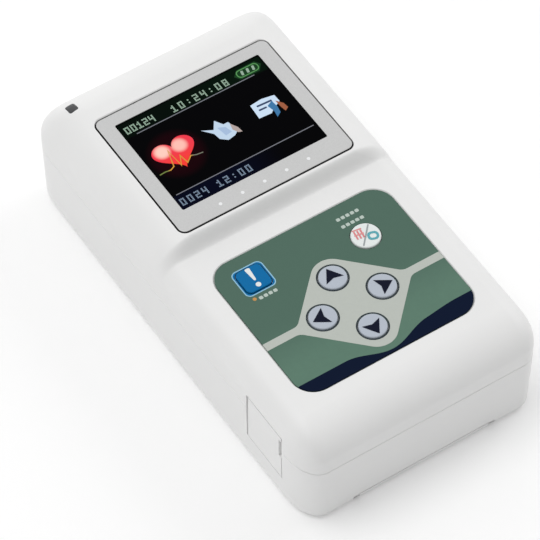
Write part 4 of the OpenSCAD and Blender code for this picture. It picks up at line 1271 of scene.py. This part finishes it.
LABELS = {"mode_upper": (9.4, -7.4, 5), "mode_lower": (9.3, -9.6, 5),
          "event_lower": (-16.3, -15.9, 4)}
LABEL_STEP = 1.22
RING_OUT = 3.68
RING_IN = 3.41
DASH = (0.92, 0.85, 0.25)
SPOT_AT, SPOT_R = (-17.7, -15.5), 0.45
RING_INK = inked("ink ring", INK_RING)
LABEL_INK = inked("ink label", (0.50, 0.58, 0.53))
EVENT_PRINTS = {
    "ground": ((7.3, 7.1, 1.1), (6.84, 6.84, 1.5), inked("ink blue", EVENT_BLUE)),
    "outline": ((7.85, 7.65, 1.4), (7.32, 7.12, 1.12),
                inked("ink sky", (0.30, 0.55, 0.70))),
}


def keypad_prints():
    """Everything that is printed on the keypad's film."""
    top_h = KEYPAD_FACE_H + INK_T
    edge_h = KEYPAD_LOW[2] + 0.1
    diamond = prism("print_diamond", [diamond_outline()], edge_h, top_h)
    carved(diamond, cuts=[rod(place_of(name), radius + KEY_GAP, KEYPAD_LOW[2],
                              KEYPAD_FACE_H + OVER) for name, radius in KEY_R.items()])
    mounted(diamond, "case", inked("ink pale", INK_DIAMOND))
    printed("print_wave", [wave_outline()], inked("ink navy", INK_NAVY), "case", edge_h,
            top_h - edge_h)
    ring_ink = prism("ring", [circle((0, 0), RING_OUT, 96), circle((0, 0), RING_IN, 96)],
                     0, INK_T)
    middle_at = (middle("up_key")[:2] + middle("down_key")[:2]) / 2
    spread = middle("up_key")[1] - middle_at[1]
    rings = copied("print_rings", circle_tree(), ring_ink, RING_INK, Count=4,
                   Radius=spread * MM, Middle=metres(*middle_at, top_h))
    mounted(rings, "case", RING_INK)
    at = place_of("event_key")
    for name, (outer, inner, ink) in EVENT_PRINTS.items():
        printed("print_event_" + name, [rounded(*outer, at), rounded(*inner, at)], ink)
    row = row_tree()
    for name, (x, y, count) in LABELS.items():
        dash = prism("dash", [rounded(*DASH)], 0, INK_T)
        made = copied("print_" + name, row, dash, LABEL_INK, Count=count,
                      Start=metres(x, y, KEYPAD_FACE_H), Step=metres(LABEL_STEP, 0, 0))
        mounted(made, "case", LABEL_INK)
    printed("print_event_spot", [circle(SPOT_AT, SPOT_R, 24)],
            inked("ink orange", (0.55, 0.30, 0.10)))


ARROW = [(0.0, 2.6), (-2.25, -0.95), (0.0, -0.3), (2.25, -0.95)]
ARROW_TURN = {"up_key": 0, "right_key": -90, "down_key": 180, "left_key": 90}
WEDGE = [(-0.62, 2.75), (-0.3, 2.95), (0.3, 2.95), (0.62, 2.75), (0.28, -0.55),
         (0.0, -0.75), (-0.28, -0.55)]
STOP_AT, STOP_R = (-0.05, -1.98), 0.62
SLASH_TURN = 47
BARS_AT, BARS_TURN = (-1.15, 1.05), -8
BAR_PITCH = 0.78
TIE_RISES = (1.25, -0.1)
HOOP_AT, HOOP_TURN = (1.3, -0.95), -20
SINK = 0.04  # how far a key's print reaches into its dished top
SIGN_T = 0.06


def key_glyphs():
    """Arrowheads, the event key's mark and the mode key's two signs."""
    dark = inked("ink arrow", (0.006, 0.008, 0.022))
    for name, turn in ARROW_TURN.items():
        outline = turned(ARROW, place_of(name), turn)
        printed("glyph_" + name.split("_")[0], [outline], dark, name,
                corners(name)[1][2] - 0.03, 0.05)
    at, top_h = place_of("event_key"), corners("event_key")[1][2]
    white = inked("ink white", INK_WHITE)
    for name, outline in (("wedge", WEDGE), ("dot", circle(STOP_AT, STOP_R, 32))):
        printed("glyph_event_" + name, [turned(outline, at, 0)], white, "event_key",
                top_h)
    at, low_h = place_of("mode_key"), corners("mode_key")[1][2] - SINK
    bars_at = (at[0] + BARS_AT[0], at[1] + BARS_AT[1])
    hoop_at = (at[0] + HOOP_AT[0], at[1] + HOOP_AT[1])
    signs = {
        "slash": ([turned(rounded(6.1, 0.34, 0.16), at, SLASH_TURN)],
                  inked("ink grey", (0.34, 0.37, 0.38))),
        "bars": ([turned(rounded(0.38, 2.3, 0.12, (k * BAR_PITCH, -0.15)), bars_at,
                         BARS_TURN) for k in (-1, 0, 1)],
                 inked("ink pink", (0.72, 0.24, 0.25))),
        "ties": ([turned(rounded(2.3, 0.34, 0.12, (0, rise)), bars_at, BARS_TURN)
                  for rise in TIE_RISES], inked("ink rose", (0.74, 0.30, 0.30))),
        "hoop": ([turned(rounded(*size), hoop_at, HOOP_TURN)
                  for size in ((2.6, 2.3, 1.0), (1.5, 1.2, 0.55))],
                 inked("ink teal", (0.12, 0.40, 0.46))),
    }
    for name, (outlines, ink) in signs.items():
        thick = SIGN_T + (0.004 if name == "ties" else 0)
        printed("glyph_mode_" + name, outlines, ink, "mode_key", low_h, thick)


# ------------------------------------------------------- the display's picture

PICTURE_AT = (0.0, PICTURE_Y)
PICTURE_H = GLASS_HIGH[2]
DOTS = {"0": "75557", "1": "26227", "2": "71747", "3": "71717", "4": "55711",
        "5": "74717", "6": "74757", "7": "71122", "8": "75757", "9": "75717",
        ":": "02020", " ": "00000"}
DOT = 0.42
DOT_SHARE = 0.84
LAYER = 0.012


def picture(name, outlines, finish, level=1):
    """A lit area of the display; a higher level lies over a lower one."""
    outlines = [turned(outline, PICTURE_AT, 0) for outline in outlines]
    made = prism(name, outlines, PICTURE_H, PICTURE_H + LAYER * level)
    return mounted(made, "case", finish)


def figures(name, text, at, step, finish):
    """Numbers made of the display's square dots."""
    points = []
    for place, sign in enumerate(text):
        for line, bits in enumerate(DOTS[sign]):
            for column in range(3):
                if int(bits) & (4 >> column):
                    x = at[0] + place * step + column * DOT
                    y = at[1] - line * DOT
                    points.append((PICTURE_AT[0] + x, PICTURE_AT[1] + y, PICTURE_H))
    side = DOT * DOT_SHARE
    dot = prism("dot", [rounded(side, side, 0.06, steps=2)], 0, LAYER)
    made = copied(name, points_tree(), dot, finish, points)
    return mounted(made, "case", finish)


HEART_W = 10.4
HEART_L = 8.6
HEART_UP = 0.6
GLEAMS = ((-2.6, 2.1, 0.95), (1.7, 1.8, 0.8))
GLEAM_R = 2.35


def heart_outline():
    """The usual heart curve, at its place on the picture."""
    points = []
    for t in np.linspace(0, 2 * math.pi, 65)[:-1]:
        x = math.sin(t) ** 3
        y = (13 * math.cos(t) - 5 * math.cos(2 * t) - 2 * math.cos(3 * t)
             - math.cos(4 * t)) / 14.5
        points.append((HEART_AT[0] + x * HEART_W / 2,
                       HEART_AT[1] + HEART_UP + y * HEART_L / 2))
    return points


def heart_finish():
    """Red heart with a pale gleam on each lobe."""
    made = Finish("heart")
    x = made.axis("X") - (PICTURE_AT[0] + HEART_AT[0])
    y = made.axis("Y") - (PICTURE_AT[1] + HEART_AT[1])
    gleam = 0.0
    for cx, cy, strength in GLEAMS:
        dx, dy = (x - cx) * (1 / GLEAM_R), (y - cy) * (1 / GLEAM_R)
        near = (1 - (dx * dx + dy * dy)).above(0.45, 0.9)
        gleam = near * strength + gleam
    red = made.mixed(y.above(-1.0, 5.0), (0.85, 0.015, 0.0), (0.80, 0.012, 0.04))
    made.set(Base_Color=(0.05, 0.0, 0.0), Roughness=0.12, Emission_Strength=1.0,
             Emission_Color=made.mixed(gleam, red, (0.95, 0.62, 0.52)))
    return made.material


def ribbon_line(points, width):
    """The outline of a line with even width, through the points."""
    points = [Vector(p) for p in points]
    left, right = [], []
    for i, point in enumerate(points):
        before = points[max(i - 1, 0)]
        after = points[min(i + 1, len(points) - 1)]
        first = (point - before).normalized() if i else (after - point).normalized()
        last = (after - point).normalized() if point != after else first
        across = Vector((-(first + last).y, (first + last).x)).normalized()
        reach = width / 2 / max(across.dot(Vector((-first.y, first.x))), 0.35)
        left.append(tuple(point + across * reach))
        right.append(tuple(point - across * reach))
    return left + right[::-1]


TRACE = [(-17.9, -2.7), (-16.4, -2.6), (-15.1, -2.8), (-14.0, -2.3), (-12.8, 2.2),
         (-12.4, -2.9), (-11.2, -0.4), (-10.8, -3.0), (-9.2, -1.7), (-8.0, -2.2),
         (-6.4, -2.4)]
TRACE_W = 0.26
PAPER = [(-3.6, 3.0), (-1.1, 1.6), (0.4, 3.8), (1.6, 1.8), (2.8, 1.8), (3.3, 0.1),
         (3.3, -1.4), (2.2, -2.2), (0.2, -2.6), (-1.3, -1.3), (-1.6, 0.6)]
PAPER_FOLD = [(-0.1, 1.7), (1.6, 0.9), (2.1, -1.0), (0.4, -1.2)]
PAPER_EDGE = [(2.9, 1.2), (3.9, -0.6), (4.1, -2.2), (3.2, -1.9), (2.5, -0.6)]
CARD = [(9.5, 3.0), (12.6, 3.3), (15.7, 2.7), (15.8, 0.6), (13.4, -0.6), (12.4, -1.4),
        (9.2, -1.2)]
CARD_LINES = [[(10.6, 2.2), (14.4, 2.0), (14.4, 1.5), (10.6, 1.7)],
              [(10.4, 1.0), (12.4, 0.9), (12.4, 0.45), (10.4, 0.5)]]
PEN_BLUE = [(12.7, 0.8), (14.3, 1.6), (14.5, -0.5), (14.2, -2.2), (12.9, -3.0),
            (13.2, -1.2)]
PEN_TIP = [(15.0, 1.2), (16.2, -0.4), (16.4, -1.9), (15.4, -2.5), (15.1, -0.9)]
BATTERY_GLOW = [(11.0, 11.9), (12.4, 13.3), (17.2, 13.4), (18.2, 12.0),
                (16.9, 10.4), (12.0, 10.5)]
BATTERY_AT = (14.6, 11.95)
BAR_STEP = 1.45
RULES = {"lit_line_upper": (10.05, -15.9, 15.2), "lit_line_lower": (-9.35, -17.9, 18.3)}
RULE_HALF = 0.11
SHAPES = {
    "lit_paper": ([PAPER], lit("lit paper", (0.56, 0.70, 0.86), 0.95), 1),
    "lit_paper_fold": ([PAPER_FOLD], lit("lit fold", (0.42, 0.56, 0.78), 0.9), 2),
    "lit_paper_edge": ([PAPER_EDGE], lit("lit edge", (0.55, 0.45, 0.42), 0.8), 2),
    "lit_card": ([CARD], lit("lit card", (0.60, 0.74, 0.90), 1.0), 1),
    "lit_card_lines": (CARD_LINES, lit("lit ink", (0.06, 0.10, 0.22), 0.6), 2),
    "lit_pen": ([PEN_BLUE], lit("lit pen", (0.05, 0.20, 0.42), 0.9), 3),
    "lit_pen_tip": ([PEN_TIP], lit("lit tip", (0.42, 0.13, 0.06), 0.8), 3),
}


def trace_finish():
    """A pulse line, green at its start, orange on the heart and grey after it."""
    made = Finish("lit trace")
    x = made.axis("X")
    on_heart = made.mixed(x.above(HEART_AT[0] - 4.0, 1.0), (0.16, 0.22, 0.05),
                          (0.62, 0.30, 0.03))
    colour = made.mixed(x.above(HEART_AT[0] + 2.6, 1.0), on_heart, (0.16, 0.17, 0.13))
    made.set(Base_Color=(0.02, 0.02, 0.01), Roughness=0.15, Emission_Color=colour,
             Emission_Strength=1.0, Specular_IOR_Level=0.1)
    return made.material


def display_picture():
    """The lit picture: numbers, two lines, a battery, a heart and two signs."""
    green = lit("lit green", (0.10, 0.33, 0.10), 0.9)
    pale = lit("lit pale", (0.33, 0.47, 0.36), 0.9)
    steel = lit("lit steel", (0.26, 0.27, 0.31), 0.7)
    bluish = lit("lit blue grey", (0.26, 0.35, 0.47), 0.7)
    figures("lit_number", "00124", (-17.6, 12.75), 1.58, pale)
    figures("lit_time", "10:24:08", (-5.6, 12.5), 1.95, pale)
    figures("lit_lower", "0024 12:00", (-18.0, -10.9), 1.9, bluish)
    for name, (y, low_x, high_x) in RULES.items():
        low_y, high_y = y - RULE_HALF, y + RULE_HALF
        picture(name, [[(low_x, low_y), (high_x, low_y), (high_x, high_y),
                        (low_x, high_y)]], steel)
    picture("lit_battery_glow", [BATTERY_GLOW],
            lit("lit glow", (0.004, 0.045, 0.010), 0.9))
    picture("lit_battery", [rounded(5.7, 2.3, 1.0, BATTERY_AT),
                            rounded(5.2, 1.8, 0.8, BATTERY_AT)], green, 2)
    bar = prism("bar", [turned(rounded(0.6, 1.3, 0.15), (0, 0), -12)], 0, 2 * LAYER)
    bars = copied("lit_battery_bars", row_tree(), bar, pale, Count=3,
                  Start=metres(PICTURE_AT[0] + BATTERY_AT[0] - BAR_STEP + 0.05,
                               PICTURE_AT[1] + BATTERY_AT[1], PICTURE_H),
                  Step=metres(BAR_STEP, 0, 0))
    mounted(bars, "case", pale)
    picture("lit_heart", [heart_outline()], heart_finish())
    picture("lit_trace", [ribbon_line(TRACE, TRACE_W)], trace_finish(), 2)
    for name, (outlines, finish, level) in SHAPES.items():
        picture(name, outlines, finish, level)


BEZEL_MARKS = 5
BEZEL_MARK_STEP = 5.78
BEZEL_MARK_UP = 2.55
BEZEL_MARK_R = 0.42
BEZEL_MARK_SHIFT = 0.35


def bezel_marks():
    """Small pale marks along the bezel's lower border."""
    pale = inked("ink bezel", (0.86, 0.87, 0.88))
    mark = prism("mark", [circle((0, 0), BEZEL_MARK_R, 24)], 0, INK_T)
    start = -BEZEL_MARK_STEP * (BEZEL_MARKS - 1) / 2 + BEZEL_MARK_SHIFT
    made = copied("bezel_marks", row_tree(), mark, pale, Count=BEZEL_MARKS,
                  Start=metres(start, BEZEL_LOW[1] + BEZEL_MARK_UP, BEZEL_TOP_H),
                  Step=metres(BEZEL_MARK_STEP, 0, 0))
    mounted(made, "case", pale)


# ------------------------------------------------- fasteners, sockets and cells

THREAD_PITCH = 0.8
THREAD_DEEP = 0.14
HEAD_EDGE = 0.5
CROSS_SHARE = 0.68
CROSS_DEEP_SHARE = 0.55
CROSS_HALF = 0.3


def screw(shank_r, head_r, head_t, length):
    """A screw that points up from its seat: a rounded head with a cross recess,
    and thread grooves round its shank."""
    profile = [(0, -head_t), (head_r - HEAD_EDGE, -head_t)]
    profile += arc((head_r - HEAD_EDGE, HEAD_EDGE - head_t), HEAD_EDGE, 270, 360, 5)[1:]
    profile += [(head_r, 0), (shank_r, 0)]
    turns = int(length / THREAD_PITCH) - 1
    for turn in range(turns):
        crest_h = THREAD_PITCH * (turn + 0.5)
        profile += [(shank_r, crest_h), (shank_r - THREAD_DEEP, crest_h + THREAD_PITCH / 2)]
    profile += [(shank_r, THREAD_PITCH * (turns + 0.5)), (shank_r * 0.6, length),
                (0, length)]
    made = lathe("screw", profile, (0, 0), steps=48)
    reach, floor_h = CROSS_SHARE * head_r, (CROSS_DEEP_SHARE - 1) * head_t
    slots = [block((-x, -y, -head_t - OVER), (x, y, floor_h))
             for x, y in ((reach, CROSS_HALF), (CROSS_HALF, reach))]
    return smoothed(carved(made, cuts=slots))


def screws():
    """The four case screws, from the back, and the four board screws."""
    sets = [
        ("case_screws", CASE_POSTS, SEAT_H, SHANK_R, HEAD_R, CASE_SCREWS),
        ("board_screws", BOARD_POSTS, BOARD_LOW[2], BOARD_SHANK_R, BOARD_HEAD_R,
         BOARD_SCREWS),
    ]
    for name, posts, seat_h, shank_r, head_r, (low, high) in sets:
        unit = screw(shank_r, head_r, seat_h - low[2], high[2] - seat_h)
        made = copied(name + "_set", points_tree(), unit, FINISHES["screw_steel"],
                      [(x, y, seat_h) for x, y in posts])
        mounted(made, "case", "screw_steel", name)


LEAD_BORE_R = 3.9
LEAD_FLANGE_T = 1.5
LEAD_EDGE = 0.35
KEYWAY_R = 0.6
LEAD_PINS = corners("lead_pins")
PIN_NEEDLE_R = 0.45
PIN_COUNT = 6


def lead_socket():
    """The round socket: a flange behind the wall, a soft mouth and a keyway."""
    back, face = LEAD_LOW[1], LEAD_HIGH[1]
    flange_back = LEAD_FLANGE_Y - LEAD_FLANGE_T
    profile = [(0, back), (LEAD_R, back), (LEAD_R, flange_back),
               (LEAD_FLANGE_R, flange_back), (LEAD_FLANGE_R, LEAD_FLANGE_Y),
               (LEAD_R, LEAD_FLANGE_Y)]
    profile += arc((LEAD_R - LEAD_EDGE, face - LEAD_EDGE), LEAD_EDGE, 0, 90, 5)
    profile += arc((LEAD_BORE_R + LEAD_EDGE, face - LEAD_EDGE), LEAD_EDGE, 90, 180, 5)
    profile += [(LEAD_BORE_R, LEAD_PINS[0][1]), (0, LEAD_PINS[0][1])]
    made = laid(lathe("lead_socket_shell", profile, (0, -JOINT_H)))
    carved(made, cuts=[end_rod(0, JOINT_H + LEAD_BORE_R, KEYWAY_R,
                               LEAD_PINS[0][1] + 0.5, face + OVER, 32)])
    mounted(smoothed(made), "case", "switch_black", "lead_socket")


def lead_pins():
    """Round-nosed pins: one in the middle and the others in a ring."""
    low, high = LEAD_PINS
    length = high[1] - low[1]
    profile = [(0, 0), (PIN_NEEDLE_R, 0)]
    profile += arc((0, length - PIN_NEEDLE_R), PIN_NEEDLE_R, 0, 90, 6)
    pin = smoothed(laid(lathe("pin", profile, (0, 0), steps=24)), 50)
    spread = (high[2] - low[2]) / 2 - PIN_NEEDLE_R
    places = [(0, low[1], JOINT_H)]
    for i in range(PIN_COUNT):
        a = 2 * math.pi * i / PIN_COUNT
        places.append((spread * math.sin(a), low[1], JOINT_H + spread * math.cos(a)))
    made = copied("lead_pin_set", points_tree(), pin, FINISHES["pin_gold"], places)
    mounted(made, "case", "pin_gold", "lead_pins")


NUB_R = 2.6
NUB_L = 1.0
NUB_EDGE = 0.3
FOOT_R = 5.0  # the flat end's recess
FOOT_EDGE = 0.3
FOOT_DEEP = 0.12
FOOT_ROLL = 0.6
CRIMP_L = 1.0
CRIMP_DEEP = 0.25
CRIMP_ROLL = 0.5
CAP_RIM = (4.5, 4.3, 3.3, 3.1)  # radii of the groove between shoulder and nub


def cell_profile(total):
    """(radius, distance from the flat end) of half a cell."""
    body = total - NUB_L
    profile = [(0, FOOT_DEEP), (FOOT_R, FOOT_DEEP), (FOOT_R + FOOT_EDGE, 0),
               (CELL_R - FOOT_ROLL, 0)]
    profile += arc((CELL_R - FOOT_ROLL, FOOT_ROLL), FOOT_ROLL, 270, 360, 5)[1:]
    profile += [(CELL_R, body - CRIMP_L), (CELL_R - CRIMP_DEEP, body - 0.65)]
    profile += arc((CELL_R - 0.8, body - CRIMP_ROLL), CRIMP_ROLL, 0, 90, 4)
    profile += [(radius, body - deep) for radius, deep in zip(CAP_RIM, (0, 0.3, 0.3, 0))]
    return profile + [(NUB_R, body), (NUB_R, total - NUB_EDGE),
                      (NUB_R - NUB_EDGE, total), (0, total)]


def cells():
    """The two cells, with rolled shoulders, a flat end and a raised nub."""
    for name, side in (("battery_left", 1), ("battery_right", -1)):
        low, high = corners(name)
        start = low[1] if side > 0 else high[1]
        profile = [(r, start + side * s) for r, s in cell_profile(high[1] - low[1])]
        cell = laid(lathe(name + "_cell", profile, (-side * CELL_X, -CELL_H)))
        mounted(smoothed(settle(cell)), "case", "cell_sleeve", name)


def eased(node, width):
    """A finished copy of an inner piece, with its sharp edges rounded off."""
    bm = bmesh.new()
    bm.from_mesh(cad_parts[node].data)
    bmesh.ops.remove_doubles(bm, verts=bm.verts, dist=0.001 * MM)
    bmesh.ops.dissolve_limit(bm, angle_limit=math.radians(0.5), verts=bm.verts,
                             edges=bm.edges)
    made = softened(piece_of(node + "_finished", bm), width, 2)
    mounted(smoothed(made), "case", NODE_FINISH[node], node)


EASED = {"data_socket": 0.1, "display_frame": 0.15, "key_switches": 0.15,
         "board_chips": 0.12, "shield_can": 0.15, "sounder": 0.25, "clock_cell": 0.1,
         "leaf_contacts": 0.05, "plate_contacts": 0.06, "main_board": 0.08}

CHIP_SIDE = 9.0
CHIP_LEGS = 13
CHIP_PITCH = 0.62
SMALL_CHIP = (6.0, 4.0)
SMALL_LEGS = 5
SMALL_PITCH = 1.1
LEG_W = 0.24
LEG_L = 0.9
LEG_T = 0.13
LEG_BEND = [(-0.05, -0.6), (0.3, -0.6), (0.45, -0.07), (LEG_L, -0.07)]


def leg_pair(half_gap, turn):
    """Two bent legs, one on each side of a chip."""
    made = []
    for side in (0, 180):
        bend = [(half_gap + out, up) for out, up in LEG_BEND]
        leg = laid(prism("leg", [ribbon_line(bend, LEG_T)], -LEG_W / 2, LEG_W / 2))
        leg.data.transform(Matrix.Rotation(math.radians(side + turn), 4, "Z"))
        made.append(leg)
    return carved(made[0], [made[1]])


def chip_legs():
    """Legs on all four sides of the main chip, and on two of the small ones."""
    board_h = BOARD_HIGH[2]
    y = place_of("display_panel")[1]
    reach = CHIP_PITCH * (CHIP_LEGS - 1) / 2
    tree = row_tree()
    for name, turn, start, step in (
            ("chip_legs_across", 0, (0, y - reach), (0, CHIP_PITCH)),
            ("chip_legs_along", 90, (-reach, y), (CHIP_PITCH, 0))):
        made = copied(name, tree, leg_pair(CHIP_SIDE / 2, turn), FINISHES["shell_metal"],
                      Count=CHIP_LEGS, Start=metres(*start, board_h),
                      Step=metres(*step, 0))
        mounted(made, "case", "shell_metal")
    first_x = SMALL_CHIP[0] / 2 - (BOARD_HIGH[0] - BOARD_LOW[0]) / 4
    row_y = KEYPAD_LOW[1] - SMALL_CHIP[1] / 2
    places = [(first_x + 2 * SMALL_CHIP[0] * chip + SMALL_PITCH * (leg - 2), row_y, board_h)
              for chip in range(3) for leg in range(SMALL_LEGS)]
    made = copied("chip_legs_small", points_tree(), leg_pair(SMALL_CHIP[1] / 2, 90),
                  FINISHES["shell_metal"], places)
    mounted(made, "case", "shell_metal")


# ------------------------------------------------------------ light and camera

CAMERA_AT = (-0.28616, -0.43148, 0.69515)
CAMERA_AIM = (0.32967, 0.50343, -0.79867)
LENS = 256.67
ROOM_LEVEL = 0.68
ROOM_TILT = (0.02, 0.42, 0.0)
FLOOR_GLOW = 0.075
FLOOR_HALF = 3000
LIGHT_AIM = Vector((0, 0, 0.01))
LIGHTS = {"key": ((-0.30, 0.14, 0.97), 0.7, 2.8),
          "right key": ((0.80, 0.05, 0.62), 0.6, 1.6)}


def aimed(made, place, direction):
    """Puts a camera or a light at a place, in metres, and turns it."""
    made.location = place
    made.rotation_mode = "QUATERNION"
    made.rotation_quaternion = direction.to_track_quat("-Z", "Y")
    return made


def camera():
    """The camera at the photo's angle."""
    lens = bpy.data.cameras.new("camera")
    lens.lens = LENS
    lens.sensor_width = 36.0
    lens.clip_start, lens.clip_end = 0.01, 10.0
    made = aimed(linked("camera", lens), CAMERA_AT, Vector(CAMERA_AIM))
    bpy.context.scene.camera = made


def area_light(name, place, size, power):
    """A round soft light that points at the case."""
    lamp = bpy.data.lights.new(name, "AREA")
    lamp.shape = "DISK"
    lamp.size = size
    lamp.energy = power
    aimed(linked(name, lamp), place, LIGHT_AIM - Vector(place))


def soft_room():
    """Even light from all round, a little stronger from the top end's side."""
    world = bpy.data.worlds.new("studio")
    world.use_nodes = True
    room = Nodes(world.node_tree)
    tilt = room.node("ShaderNodeVectorMath", {"operation": "DOT_PRODUCT"},
                     {0: room.node("ShaderNodeTexCoord", output="Generated"),
                      1: ROOM_TILT}, output="Value")
    background = room.tree.nodes["Background"]
    room.fill(background.inputs["Color"], (1, 1, 1))
    room.fill(background.inputs["Strength"], ROOM_LEVEL + ROOM_LEVEL * tilt)
    return world


def studio():
    """A plain pale floor, the room and the two lights."""
    floor = piece("floor", [(x * FLOOR_HALF, y * FLOOR_HALF, 0) for x, y in
                            ((-1, -1), (1, -1), (1, 1), (-1, 1))], [(0, 1, 2, 3)])
    paper = Finish("paper")
    paper.set(Base_Color=paper.mixed(paper.noise(60, 2), (0.93, 0.93, 0.93),
                                     (0.95, 0.95, 0.95)),
              Roughness=0.9, Emission_Color=(1, 1, 1), Emission_Strength=FLOOR_GLOW)
    floor.data.materials.append(paper.material)
    bpy.context.scene.world = soft_room()
    for name, (place, size, power) in LIGHTS.items():
        area_light(name, place, size, power)
    bpy.context.scene.view_settings.view_transform = "Standard"


camera()
studio()
dress_frame()
front_shell()
rear_shell()
battery_door()
port_cover()
screen_bezel()
gasket()
round_keys()
event_key()
keypad_prints()
key_glyphs()
display_picture()
bezel_marks()
screws()
lead_socket()
lead_pins()
cells()
chip_legs()
for inner, edge in EASED.items():
    eased(inner, edge)
